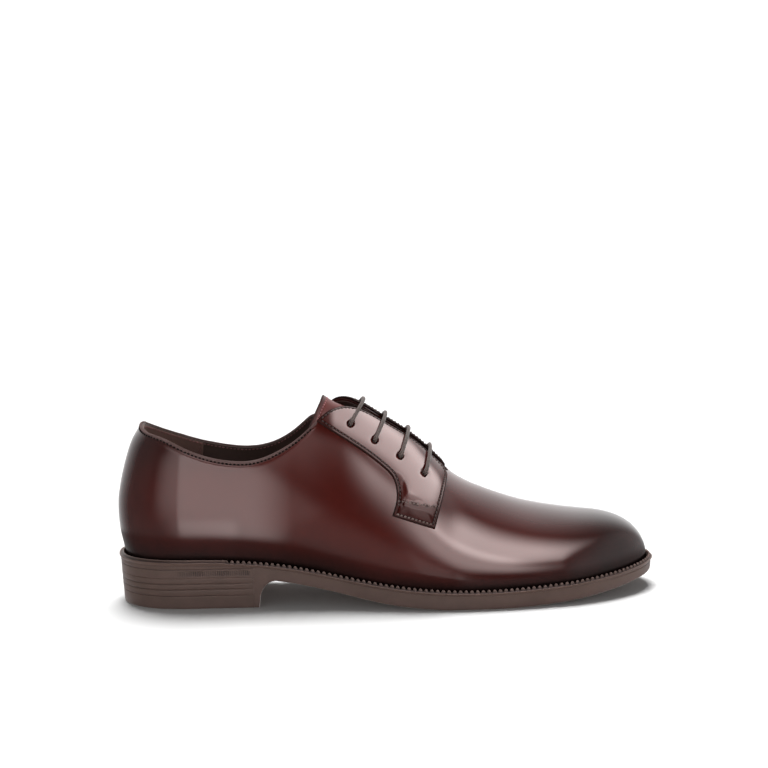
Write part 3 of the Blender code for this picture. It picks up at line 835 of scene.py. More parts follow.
# the upper's wax and polish: shares, and runs as a start with a length, downwards where that is negative
finish = {
    "toeWax": 0.84,
    "toeWaxRun": (222.0, 62.0),
    "heelWax": 0.62,
    "heelWaxRun": (46.0, -44.0),
    "weltDark": 0.88,
    "weltDarkHeight": (15.0, 9.0),  # at the heel and further forward
    "weltDarkChange": (90.0, 90.0),
    "crownWax": 0.30,
    "crownWaxRun": (186.0, 26.0),
    "crownWaxWidth": 34.0,
    "collarWax": 0.35,
    "collarWaxRise": (66.0, 26.0),
    "collarWaxRun": (104.0, -30.0),
    "quarterPolish": 0.72,
    "quarterRun": (112.0, -38.0),
    # brightest low on the outer quarter
    "lowPolish": 0.28,
    "lowPolishRuns": ((31.0, 8.0), (72.0, -8.0)),
    "lowPolishTop": (25.0, -6.0),
    # the vamp's polish starts further forward at its foot than higher up
    "vampRise": (10.0, 28.0),
    "vampStart": (182.0, 119.0),
    "vampLength": (14.0, 25.0),
    "toePolish": 0.5,  # of the toe's sides
    "toePolishRun": (230.0, 36.0),
    "toePolishTop": (76.0, -24.0),
    "leastPolish": 0.2,
    # over the welt, at the heel and further forward
    "footPolish": 0.3,
    "footStart": (11.5, 2.0),
    "footLength": (4.5, 7.0),
    "footChange": (90.0, 70.0),
}


def wallRows(stations, side, nearRim, evenRows):
    girths, edges = [], []
    foot = 0.0 if side == outerSide else 180.0
    for x in stations:
        run = np.linspace(float(rimGirth(x, side)), foot, 260)
        down = lengthAlong(lastPoint(x, run))
        near = np.array(nearRim) * min(1.0, down[-1] / upper["shortWall"])
        rows = np.concatenate((near, np.linspace(near[-1], down[-1], evenRows + 1)[1:]))
        girths.append(np.interp(rows, down, run))
        edges.append(rows if x < rim["closeEnd"] else rows + upper["farEdge"])
    return np.array(girths), np.array(edges)


def joinHalves(name, stations, nearRim, evenRows):
    # the outer and inner half, welded along heel, toe and vamp
    halves = [
        lastSheet(name, stations[:, None], *wallRows(stations, side, nearRim, evenRows))
        for side in bothSides
    ]
    pick(*halves)
    bpy.ops.object.join()
    weldSeams(halves[0])
    faceOutwards(halves[0])
    return halves[0]


def softShape(x, girth, swells):
    return sum(
        rise * ridge(x, place, length) * ridge(girth, around, width)
        for place, around, length, width, rise in swells
    )


def burnishOf(x, girth):
    # dark wax at toe and heel, darker towards the welt, and a shade on the crown and at the collar
    z = lastPoint(x, girth)[..., 2]
    height = np.maximum(0.0, z - weltTop(x))
    weltHeight = mix(*finish["weltDarkHeight"], ramp(x, *finish["weltDarkChange"]))
    shares = (
        finish["toeWax"] * ramp(x, *finish["toeWaxRun"]),
        finish["heelWax"] * ramp(x, *finish["heelWaxRun"]),
        finish["weltDark"] * ridge(height, 0.0, weltHeight),
        finish["crownWax"] * ramp(x, *finish["crownWaxRun"]) * ridge(girth, 90.0, finish["crownWaxWidth"]),
        finish["collarWax"] * ramp(z, *finish["collarWaxRise"]) * ramp(x, *finish["collarWaxRun"]),
    )
    return 1 - np.prod([1 - share for share in shares], axis=0)


def dullOf(x, girth):
    # well polished on the heel quarter and the vamp, less so at the waist, the toe's sides and the welt
    height = lastPoint(x, girth)[..., 2] - weltTop(x)
    upwards = np.minimum(girth, 180 - girth)
    low = finish["lowPolish"] * ramp(height, *finish["lowPolishTop"]) * (girth < 90)
    for run in finish["lowPolishRuns"]:
        low = low * ramp(x, *run)
    quarter = finish["quarterPolish"] * ramp(x, *finish["quarterRun"]) + low
    toe = ramp(x, *finish["toePolishRun"]) * ramp(upwards, *finish["toePolishTop"])
    start, length = finish["vampRise"]
    up = np.clip((height - start) / length, 0.0, 1.0)
    vamp = ramp(x, mix(*finish["vampStart"], up), mix(*finish["vampLength"], up))
    polish = np.maximum(quarter + vamp * mix(1.0, finish["toePolish"], toe), finish["leastPolish"])
    ahead = ramp(x, *finish["footChange"])
    foot = ramp(height, mix(*finish["footStart"], ahead), mix(*finish["footLength"], ahead))
    return 1 - polish * mix(finish["footPolish"], 1.0, foot)


def makeUpper():
    closing = np.arange(rim["closeStart"], rim["closeEnd"] - 0.2, upper["closeStep"])
    stations = stationsAlong(44, 1.7, 64, needed=(*closing, rim["closeEnd"] - 0.4, rim["closeEnd"]))
    sheet = joinHalves("upper_leather", stations, upper["rimRows"], upper["evenRows"])
    punchHoles(sheet, eyeletPlaces(), upper["holeRadius"])
    x, girth, edge = placesOf(sheet)
    band = upper["bandBulge"] * ridge(edge, *upper["bandPlace"])
    band -= upper["stitchGroove"] * ridge(edge, upper["stitchInset"], upper["stitchGrooveWidth"])
    band += upper["seamLip"] * ridge(edge, *upper["seamLipPlace"])
    band *= 1 - ramp(x, *upper["collarEnd"])
    point = lastPoint(x, girth)
    seam = upper["backSeam"] * ridge(point[:, 1], 0.0, upper["backSeamWidth"]) * (x < upper["backSeamEnd"])
    drop = roundDrop(edge, upper["rimRound"])
    soft = softShape(x, girth, upper["swells"]) * ease(edge / upper["softFade"])
    setValues(sheet, "burnish", burnishOf(x, girth))
    setValues(sheet, "dull", dullOf(x, girth))
    # painted shade: in the crevice over the welt and along the throat's edges under the facings
    creaseTop = mix(*upper["creaseHeight"], ramp(x, *upper["creaseChange"]))
    atWelt = ramp(point[:, 2] - weltTop(x), creaseTop, upper["creaseFull"] - creaseTop)
    faced = x >= upper["facedStart"]
    atThroat = upper["throatShade"] * ramp(edge, *upper["throatShadeRun"]) * faced
    setValues(sheet, "crease", np.maximum(atWelt, atThroat))
    setValues(sheet, "edge", np.where(faced, upper["farEdge"], edge))
    giveWall(sheet, soft + band - seam - drop, drop - upper["thickness"])
    return finishPiece(sheet, calfUpper, ("upper",))


makeUpper()

# lining: a thin skin inside the upper, and the suede grip sewn over it round the heel
lining = {
    "outer": -1.22,
    "inner": -1.9,
    "rows": (0.75, 0.85, 1.05, 1.4, 1.9, 2.4, 2.9, 3.5, 4.5, 6.0),
    "evenRows": 22,
    "closeStations": (rim["closeStart"], 181.0, 183.6, 185.2, rim["closeEnd"]),
    "holeRadius": 2.6,
    "rimRound": 0.34,
    "gripFront": 47.5,
    "gripInner": -2.4,
    "gripRows": (1.3, 1.4, 1.6, 2.0, 2.6, 3.4, 4.6, 6.5),
    "gripFrontRows": (0.7, 0.35, 0.15, 0.05, 0.0),
    "gripRound": 0.4,
    "gripSeam": 1.8,  # its stitches' distance from the front edge
    "gripSeamTop": 3.6,  # and from the rim
    "gripGroove": 0.2,
    "gripGrooveWidth": 0.5,
}


def makeLining():
    stations = stationsAlong(30, 2.6, 44, needed=lining["closeStations"])
    sheet = joinHalves("quarter_lining", stations, lining["rows"], lining["evenRows"])
    punchHoles(sheet, eyeletPlaces(), lining["holeRadius"])
    drop = roundDrop(readValues(sheet, "edge") - lining["rows"][0], lining["rimRound"])
    giveWall(sheet, lining["outer"] - 0.1 * drop, lining["inner"] + drop)
    finishPiece(sheet, liningCalf)


def makeHeelGrip():
    stations = stationsAlong(30, 2.0, 10)
    front = lining["gripFront"] - np.array(lining["gripFrontRows"])
    stations = np.concatenate((stations[stations < lining["gripFront"] - 1.0], front))
    sheet = joinHalves("heel_grip_lining", stations, lining["gripRows"], lining["evenRows"])
    x, _, edge = placesOf(sheet)
    toFront = lining["gripFront"] - x
    drop = roundDrop(np.minimum(edge - lining["gripRows"][0], toFront), lining["gripRound"])
    groove = lining["gripGroove"] * ridge(toFront, lining["gripSeam"], lining["gripGrooveWidth"])
    giveWall(sheet, np.full(len(edge), lining["inner"] - 0.05), lining["gripInner"] + drop + groove)
    finishPiece(sheet, heelGrip)


makeLining()
makeHeelGrip()

# facings: the proud panels that carry the eyelets, each with its sewn tab
facing = {
    "gap": 0.3,
    "thickness": 1.4,
    "edgeRound": 0.75,
    "cornerRound": 9.0,  # front top corner
    "step": 0.5,
    "evenRows": 26,
    "edgeRows": (0.0, 0.05, 0.16, 0.34, 0.58, 0.85, 1.15, 1.45, 1.7, 1.9, 2.1, 2.3, 2.55, 2.9, 3.5),
    "stitchInset": 1.8,
    "rimStitchShift": 0.45,  # along the throat the row lies this much nearer to the edge
    "stitchGroove": 0.16,
    "pillow": 0.40,
    "pillowWidth": 4.2,
    "grooveWidth": 0.5,
    "frontBulge": 1.5,  # the front edge is bowed forward
    "frontBulgeRun": 18.6,
    "innerTipDrop": 2.8,  # the inner panel's rear tip lies lower, as its collar does
    "innerTipRun": (129.0, -16.0),
    "rimStitchEnd": (180.0, -8.0),
    "holeRadius": 1.75,
    "holeDimple": 0.42,
    # lower edge x and z, and where that rib of the panel meets the rim
    "ribs": (
        (113.2, 101.2, 113.4), (122.0, 95.6, 125.0), (131.0, 90.0, 137.5), (141.0, 83.2, 150.0),
        (149.2, 76.6, 160.5), (154.4, 70.8, 168.0), (156.0, 63.6, 174.0), (155.2, 57.6, 178.5),
        (153.2, 51.6, 181.5),
    ),
    "tabFront": (176.2, 44.2, 184.9),
    "footTop": 53.6,
    "tabRow": ((156.2, 59.4), (177.6, 54.6)),  # the row across the top of the tab, x and z
    "valley": 0.75,  # the panel dips to that row and to the bend beside it
    "valleyWidth": 3.7,
    "valleyFront": (0.4, 158.0, 18.0),  # towards the front it is shallower
    "bend": (157.5, 50.0, 77.0),  # the bend of the lower edge: its front, foot and top
    "bendDip": (2.8, 3.0),  # distance from that edge and width
    "bendDipTop": (75.0, -7.0),
    "puff": 0.32,  # of the tab below the row
    # its hollows, given one by one: x, girth, length, width, height
    "tabSwells": ((160.0, 33.5, 3.2, 2.8, -0.34), (171.0, 33.6, 4.0, 2.0, -0.24)),
    "edgeWax": 0.25,
    "tabWax": 0.45,
    "tabPolish": 0.28,
    "tipPolish": 0.1,
    "tipPolishRun": (119.2, 4.5),
}


def facingTop(x, side):
    # the panel's top edge closes less than the throat towards its front corner
    x = np.asarray(x, float)
    throat = rimGirth(x, side)
    return np.where(x > rim["closeStart"], mix(girthAtSpan(x, throatGap[side](x), side), throat, 0.5), throat)


def facingTable(side):
    # station and girth of each point, ribs from the rear tip to the tab's front edge
    count = len(facing["ribs"])
    curved = [smoothCurve(range(count), column) for column in zip(*facing["ribs"])]
    ribs = np.column_stack([column(np.linspace(0, count - 1, 1200)) for column in curved])
    ribs = np.vstack((ribs, mix(ribs[-1], np.array(facing["tabFront"]), np.linspace(0, 1, 300)[1:, None])))
    if side == innerSide:
        ribs[:, 1] -= facing["innerTipDrop"] * ramp(ribs[:, 0], *facing["innerTipRun"])
    lowRun = lengthAlong(lastPoint(ribs[:, 0], girthAtHeight(ribs[:, 0], ribs[:, 1])))
    edgeRows = np.array(facing["edgeRows"])
    places = np.arange(0.0, lowRun[-1] - edgeRows[-1] - facing["step"] / 2, facing["step"])
    places = np.concatenate((places, (lowRun[-1] - edgeRows)[::-1]))
    lowLine = lastPoint(ribs[::4, 0], girthAtHeight(ribs[::4, 0], ribs[::4, 1], side))
    ribs = pointsAt(places, lowRun, ribs)
    rimPoints = lastPoint(ribs[:, 2], facingTop(ribs[:, 2], side))
    frontGap = np.linalg.norm(rimPoints - rimPoints[-1], axis=1)
    cuts = roundDrop(frontGap, facing["cornerRound"])
    bows = facing["frontBulge"] * (1 - ramp(places, lowRun[-1], -facing["frontBulgeRun"]))
    stations, girths = [], []
    for (lowX, lowZ, rimX), cut, bow in zip(ribs, cuts, bows):
        share = np.linspace(0, 1, 160)
        x = mix(lowX, rimX, share) + 4 * bow * share * (1 - share)
        girth = mix(float(girthAtHeight(lowX, lowZ, side)), float(facingTop(rimX, side)), share)
        points = lastPoint(x, girth)
        run = lengthAlong(points)
        whole = run[-1] - cut
        # rows lie at true distances from the lower edge, however slanted the rib is
        fromLow = np.maximum.accumulate(distanceTo(points, lowLine)) + 1e-5 * np.arange(len(run))
        low = np.interp(edgeRows, fromLow, run)
        # short ribs squeeze the rows near both edges
        low *= min(1.0, 0.42 * whole / low[-1])
        high = edgeRows * min(1.0, whole / (2.6 * edgeRows[-1]))
        even = np.linspace(low[-1], whole - high[-1], facing["evenRows"] + 2)[1:-1]
        rows = np.concatenate((low - low[0], even, (whole - high)[::-1]))
        stations.append(np.interp(rows, run, x))
        girths.append(np.interp(rows, run, girth))
    return np.array(stations), np.array(girths)


def edgeLine(stations, girths, *edges):
    # fine points along edges of a sheet
    points = lastPoint(stations, girths)
    loop = np.concatenate([points[edge] for edge in edges])
    run = lengthAlong(loop)
    return pointsAt(np.arange(0.0, run[-1], 0.08), run, loop)


lowerEdge, frontEdge = np.s_[:, 0], np.s_[-1, :]
upperEdge, rearEdge = np.s_[::-1, -1], np.s_[0, ::-1]


def insetLine(stations, girths, edges, level):
    # the line that lies level inside the lower, front and upper edge
    def firstInside(lines):
        found = []
        for x, girth, edge in lines:
            k = int(np.argmax(edge >= level))
            if k > 0:
                share = (level - edge[k - 1]) / (edge[k] - edge[k - 1])
                found.append((mix(x[k - 1], x[k], share), mix(girth[k - 1], girth[k], share)))
        return found

    tables = (stations, girths, edges)
    lower = firstInside(zip(*tables))
    front = firstInside(zip(*(table[::-1].T for table in tables)))
    top = firstInside(zip(*(table[::-1, ::-1] for table in tables)))
    return lower, front, top


def tabRowLine(side):
    (startX, startZ), (endX, endZ) = facing["tabRow"]
    x = np.linspace(startX, endX, 40)
    return x, girthAtHeight(x, np.linspace(startZ, endZ, 40), side)


def facingFields(x, girth, panel):
    # distances to the panel's edges, and the one that its stitch rows follow
    points = lastPoint(x, girth).reshape(-1, 3)
    foot = distanceTo(points, panel["footLine"]).reshape(np.shape(x))
    top = distanceTo(points, panel["topLine"]).reshape(np.shape(x))
    shift = facing["rimStitchShift"] * ramp(x, *facing["rimStitchEnd"])
    return np.minimum(foot, top), np.minimum(foot, top + shift), foot


def tabMasks(x, girth, panel):
    # above the row across the tab, and where the panel dips to that row and to the bend beside it
    points = lastPoint(x, girth)
    outer = panel["side"] == outerSide
    upwards = girth if outer else 180 - girth
    rowX, rowGirth = panel["tabRow"]
    rowUpwards = np.interp(x, rowX, rowGirth if outer else 180 - rowGirth)
    above = ease((upwards - rowUpwards) / 1.5 + 0.5)
    tabRow = distanceTo(points, lastPoint(rowX, rowGirth))
    shallow, *shallowRun = facing["valleyFront"]
    rowDip = ridge(tabRow, 0.0, facing["valleyWidth"]) * mix(1.0, shallow, ramp(x, *shallowRun))
    bendDip = ridge(distanceTo(points, panel["bendLine"]), *facing["bendDip"])
    bendDip *= ramp(points[:, 2], *facing["bendDipTop"])
    return above, above * (1 - (1 - rowDip) * (1 - bendDip)), tabRow, upwards


def facingHeight(x, girth, panel):
    # the panel's face over the last: rounded edges, sewn grooves, puffed tab, dished at the eyelets
    points = lastPoint(x, girth)
    edge, seam, foot = facingFields(x, girth, panel)
    above, dip, tabRow, upwards = tabMasks(x, girth, panel)
    top = facing["gap"] + facing["thickness"] - facing["valley"] * dip
    top -= facing["pillow"] * ridge(foot, 0.0, facing["pillowWidth"])
    for distance, inset in ((seam, facing["stitchInset"]), (tabRow, 0.0)):
        top -= facing["stitchGroove"] * ridge(distance, inset, facing["grooveWidth"])
    puff = facing["puff"] * (1 - ridge(tabRow, 0.0, 2.0)) * (1 - ridge(foot, 1.6, 2.4))
    top += (1 - above) * (puff + softShape(x, upwards, facing["tabSwells"]))
    for place in eyeletPlaces((panel["side"],)):
        rimGap = np.linalg.norm(points - lastPoint(*place), axis=1) - facing["holeRadius"]
        top -= facing["holeDimple"] * ridge(np.maximum(rimGap, 0.0), 0.0, 1.5)
        top -= roundDrop(rimGap, 0.3)
    room = np.clip((top - facing["gap"] - 0.25) / facing["edgeRound"], 0.3, 1.0)
    return top - room * roundDrop(edge, facing["edgeRound"])


def makeFacing(name, side):
    stations, girths = facingTable(side)
    low = lastPoint(stations[:, 0], girths[:, 0])
    front, foot, top = facing["bend"]
    panel = {
        "side": side,
        "footLine": edgeLine(stations, girths, lowerEdge, frontEdge),
        "topLine": edgeLine(stations, girths, upperEdge, rearEdge),
        "bendLine": low[(low[:, 0] < front) & (low[:, 2] < top) & (low[:, 2] > foot)],
        "tabRow": tabRowLine(side),
    }
    edges, seams, _ = facingFields(stations, girths, panel)
    panel["rows"] = [np.array(line).T for line in insetLine(stations, girths, seams, facing["stitchInset"])]
    # the row along the tab's foot is sewn with the one across its top
    lower = panel["rows"][0]
    onFoot = lastPoint(*lower)[:, 2] < facing["footTop"]
    panel["rows"][0] = lower[:, ~onFoot]
    panel["tabRows"] = [np.array(panel["tabRow"]), lower[:, onFoot]]
    sheet = lastSheet(name, stations, girths, edges)
    punchHoles(sheet, eyeletPlaces((side,)), facing["holeRadius"])
    faceOutwards(sheet)
    x, girth, edge = placesOf(sheet)
    allRows = np.concatenate(panel["rows"] + panel["tabRows"], axis=1)
    toRow = distanceTo(lastPoint(x, girth), lastPoint(*allRows))
    setValues(sheet, "sewn", 0.9 * ramp(toRow, 0.7, -0.4))
    # less polished at its rear tip, along its lower edge, in the dip and on the tab, which is darker too
    _, _, foot = facingFields(x, girth, panel)
    above, dip, _, _ = tabMasks(x, girth, panel)
    wax = np.maximum(facing["edgeWax"] * ridge(edge, 0.0, 4.0), facing["tabWax"] * (1 - above))
    setValues(sheet, "burnish", wax)
    polish = (1 - 0.6 * ridge(foot, 1.5, 3.2)) * (1 - 0.7 * dip) * mix(facing["tabPolish"], 1.0, above)
    polish *= mix(facing["tipPolish"], 1.0, ramp(x, *facing["tipPolishRun"]))
    setValues(sheet, "dull", 1 - polish)
    giveWall(sheet, facingHeight(x, girth, panel), facing["gap"] + 0.3 * roundDrop(edge, 0.5))
    panel["piece"] = finishPiece(sheet, calfFacing, (name,))
    return panel


sideNames = {outerSide: "lateral", innerSide: "medial"}
facingPanels = {side: makeFacing("facing_" + sideNames[side], side) for side in bothSides}

# tongue: two plies with a sewn border, lying loose under the facings
tongue = {
    "top": -2.7,
    "thickness": 2.0,
    "front": 197.0,
    "endCentre": 117.5,
    "endSide": 108.8,
    "halfWidth": 24.0,
    "halfWidthFront": 15.0,
    "stitchInset": 2.8,
    "borderWidth": 2.4,
    "edgeRound": 0.8,
    "groove": 0.25,
    "grooveWidth": 0.4,
    "borderWax": 0.85,
    "length": 82.0,  # by which the rows near its ends are spaced
    "evenRows": (60, 40),  # along and across
    "sewnRows": 20,  # its free end
    "sag": 3.2,  # it lies lower between the facings than at its free end
    "sagRuns": ((114.0, 13.0), (188.0, -14.0)),
}


def tongueTop(x):
    rear, front = (ramp(x, *run) for run in tongue["sagRuns"])
    return tongue["top"] - tongue["sag"] * rear * front


def tongueTable():
    rows = np.array(facing["edgeRows"])
    alongRows, acrossRows = tongue["evenRows"]
    near = rows / tongue["length"]
    along = np.concatenate((near, np.linspace(near[-1], 1.0, alongRows)[1:]))
    near = rows / tongue["halfWidth"] - 1
    across = np.concatenate((near, np.linspace(near[-1], -near[-1], acrossRows)[1:-1], -near[::-1]))
    along, across = np.meshgrid(along, across, indexing="ij")
    end = mix(tongue["endCentre"], tongue["endSide"], across**2)
    x = mix(end, tongue["front"], along)
    span = mix(tongue["halfWidth"], tongue["halfWidthFront"], along) * np.abs(across)
    return x, np.where(across < 0, girthAtSpan(x, span, outerSide), girthAtSpan(x, span, innerSide))


def makeTongue():
    stations, girths = tongueTable()
    border = edgeLine(stations, girths, lowerEdge, frontEdge, upperEdge, rearEdge)
    edges = distanceTo(lastPoint(stations, girths).reshape(-1, 3), border).reshape(stations.shape)
    sheet = lastSheet("tongue", stations, girths, edges)
    faceOutwards(sheet)
    x, _, edge = placesOf(sheet)
    drop = roundDrop(edge, tongue["edgeRound"])
    groove = tongue["groove"] * ridge(edge, tongue["stitchInset"], tongue["grooveWidth"])
    setValues(sheet, "burnish", tongue["borderWax"] * ramp(edge, tongue["borderWidth"], -0.5))
    giveWall(sheet, tongueTop(x) - drop - groove, tongueTop(x) - tongue["thickness"] + drop)
    finishPiece(sheet, calfTongue, ("tongue",))
    return stations, girths, edges


tongueTables = makeTongue()
print("leather pieces made")


# welt, sole and heel
def loftSections(name, stations, offsets, heights, across, crown=0.0, angle=50.0, groove=None):
    # sections across the shoe, with side rows from the bottom edge up to the top edge
    sides = {}
    for side in bothSides:
        plan = outline(stations[:, None], side, offsets)
        sides[side] = np.concatenate((plan, heights[..., None]), axis=2)
    share = np.linspace(0, 1, across + 1)[1:-1][None, :, None]
    top = mix(sides[outerSide][:, -1:], sides[innerSide][:, -1:], share)
    top[..., 2] += crown * 4 * (share * (1 - share))[..., 0]
    under = mix(sides[innerSide][:, :1], sides[outerSide][:, :1], share)
    rows = (sides[outerSide], top, sides[innerSide][:, ::-1], under, sides[outerSide][:, :1])
    shading = {}
    # the groove values are painted shade in grooves and gaps
    if groove is not None:
        plain = np.zeros(top.shape[:2])
        shading["groove"] = np.concatenate((groove, plain, groove[:, ::-1], plain, groove[:, :1]), axis=1)
    return loft(name, np.concatenate(rows, axis=1), angle, **shading)


insole = {
    "inset": -2.75,
    "height": 3.4,
    "cup": -0.6,
    # rows of its side: share of the height, further inset
    "side": ((0.0, 0.0), (0.6, 0.0), (1.0, -0.25), (1.0, -0.8)),
}


def makeInsole():
    stations = stationsAlong(24, 3.0, 30)
    rise, inset = np.array(insole["side"]).T
    foot = feather(stations)[:, None]
    offsets = insole["inset"] + inset + 0 * foot
    piece = loftSections("insole", stations, offsets, foot + rise * insole["height"], 24, insole["cup"])
    finishPiece(piece, sockCalf, ("insole",))


makeInsole()

welt = {
    "beadPitch": 3.15,
    "beadWidth": 2.25,
    "beadStart": 61.0,  # beads run from here round the toe
    "beadUp": 1.6,
    "step": 0.33,
    "betweenShade": 0.6,
    # inner face: distance from the last's bottom edge, height from the welt's top
    "inner": ((0.5, -3.0), (0.8, -2.2), (0.95, -1.4)),
    # round the heel: distance from the outer edge, height, and how much painted highlight and painted shade
    # it gets
    "plain": (
        (-2.95, -0.90, 0.0, 0.8), (-2.85, -0.45, 0.0, 0.3), (-2.70, -0.05, 0.5, 0.0),
        (-2.50, 0.10, 0.9, 0.0), (-2.30, -0.02, 0.6, 0.0), (-2.15, -0.40, 0.0, 0.4),
        (-1.95, -0.85, 0.0, 0.7), (-1.60, -1.00, 0.0, 0.4), (-1.10, -0.94, 0.0, 0.1),
        (-0.70, -0.90, 0.2, 0.0), (-0.40, -0.92, 0.5, 0.0), (-0.20, -1.02, 0.4, 0.0),
        (-0.08, -1.20, 0.1, 0.0), (-0.08, -1.45, 0.0, 0.0), (-0.25, -1.80, 0.0, 0.0),
        (-0.60, -2.20, 0.0, 0.0), (-0.85, -2.60, 0.0, 0.0), (-0.89, -3.26, 0.0, 0.3),
        (-1.60, -3.28, 0.0, 0.3),
    ),
    # beaded: distance from the outer edge, height, share of the bead's rise, and how much painted highlight
    # and painted shade it gets
    "beaded": (
        (-2.62, -1.35, 0.00, 0.0, 0.9), (-2.50, -1.30, 0.45, 0.0, 0.6), (-2.35, -1.28, 0.75, 0.2, 0.2),
        (-2.10, -1.28, 0.95, 0.8, 0.0), (-1.80, -1.28, 1.00, 0.9, 0.0), (-1.50, -1.28, 0.95, 0.7, 0.0),
        (-1.25, -1.28, 0.75, 0.2, 0.1), (-1.10, -1.30, 0.45, 0.0, 0.4), (-0.98, -1.32, 0.00, 0.0, 0.7),
        (-0.70, -1.30, 0.00, 0.1, 0.2), (-0.40, -1.30, 0.00, 0.6, 0.0), (-0.20, -1.38, 0.00, 0.5, 0.0),
        (-0.08, -1.52, 0.00, 0.1, 0.0), (-0.08, -1.76, 0.00, 0.0, 0.0), (-0.25, -2.05, 0.00, 0.0, 0.0),
        (-0.60, -2.40, 0.00, 0.0, 0.0), (-0.85, -2.75, 0.00, 0.0, 0.1), (-0.89, -3.26, 0.00, 0.0, 0.2),
        (-1.60, -3.28, 0.00, 0.0, 0.2),
    ),
}


def loopStations(step):
    # even steps round the shoe, from the heel's back along the outer side and home along the inner one
    fine = 1500
    middle = np.linspace(last["heelRoundEnd"], last["toeRoundStart"], fine)[1:-1]
    xs = np.concatenate((heelRound(fine), middle, toeRound(fine)))
    runs = {side: lengthAlong(outline(xs, side, weltWidth(xs))) for side in bothSides}
    outerEnd, whole = runs[outerSide][-1], runs[outerSide][-1] + runs[innerSide][-1]
    places = np.linspace(0, whole, round(whole / step) + 1)
    onOuter = places <= outerEnd
    outer, inner = np.interp(places, runs[outerSide], xs), np.interp(whole - places, runs[innerSide], xs)
    return np.where(onOuter, outer, inner), onOuter, places


def makeWelt():
    x, onOuter, run = loopStations(welt["step"])
    beaded = ramp(x, welt["beadStart"], 1.0)[:, None]
    phase = ((run / welt["beadPitch"]) % 1.0 - 0.5) * welt["beadPitch"] / (welt["beadWidth"] / 2)
    bead = np.sqrt(np.clip(1 - phase**2, 0.0, 1.0))[:, None]
    plainOut, plainUp, plainHighlight, plainShade = np.array(welt["plain"]).T
    beadOut, beadUp, rise, beadHighlight, beadShade = np.array(welt["beaded"]).T
    beadUp = beadUp + welt["beadUp"] * rise * bead
    # painted shade between the beads, and a painted highlight on their tops
    beadShade = np.maximum(beadShade, welt["betweenShade"] * (rise > 0) * (1 - ramp(bead, 0.1, 0.6)))
    beadHighlight = beadHighlight * np.where(rise > 0, ramp(bead, 0.35, 0.5), 1.0)

    def withInner(inner, outer):
        # the hidden inner face, the outer rows, and the first row again to close the ring
        inner = np.broadcast_to(inner, (len(x), len(welt["inner"])))
        return np.concatenate((inner, outer, inner[:, :1]), axis=1)

    innerOut, innerUp = np.array(welt["inner"]).T
    offsets = withInner(innerOut, weltWidth(x)[:, None] + mix(plainOut, beadOut, beaded))
    heights = withInner(innerUp, mix(plainUp, beadUp, beaded)) + weltTop(x)[:, None]
    outer, inner = (outline(x[:, None], side, offsets) for side in bothSides)
    plan = np.where(onOuter[:, None, None], outer, inner)
    # the dark rows are painted shade, full on the hidden inner face; the pale rows are painted highlight
    dark = withInner(0.9, mix(plainShade, beadShade, beaded))
    highlight = withInner(0.0, mix(plainHighlight, beadHighlight, beaded))
    points = np.concatenate((plan, heights[..., None]), axis=2)
    finishPiece(loft("welt", points, 60.0, groove=dark, crest=highlight), soleRubber, ("welt",))


makeWelt()

heel = {
    "lines": (11.2, 14.4),  # grooves between the stack's layers
    "lineDepth": 0.30,
    "lineWidth": 0.30,
    "lineShade": 0.5,
    "layerBulge": 0.10,
    "jointRound": 0.26,
    "joint": 0.14,  # each piece comes this far into the clearance between them
    "footRound": 1.0,
    "ringStep": 0.26,
    "plainFront": 5.0,  # towards the breast its lines fade
    "frontGap": 0.03,  # its front stays this far from the outsole's breast
}

outsole = {
    "sideRows": 30,
    "edgeRound": 1.2,
    "toeGroove": 0.5,  # the sole draws back under the welt towards the toe
    "toeGrooveRun": (258.0, 25.0),
    "toeGrooveRows": (0.0, 0.25, 0.7, 1.0),
    "layerLine": 22.7,  # groove round the heel seat
    "layerDepth": 0.34,
    "layerWidth": 0.34,
    "ribFoot": 18.6,  # upright ribs on the layer below that groove
    "ribTop": 22.2,
    "ribFade": 0.8,  # at foot and top
    "ribStart": 33.0,
    "ribStartFade": 5.0,
    "ribEnd": 75.0,
    "ribEndFade": 1.5,
    "ribPitch": 1.2,
    "ribDepth": 0.3,
    "ribShade": 0.8,
    "across": 26,
}


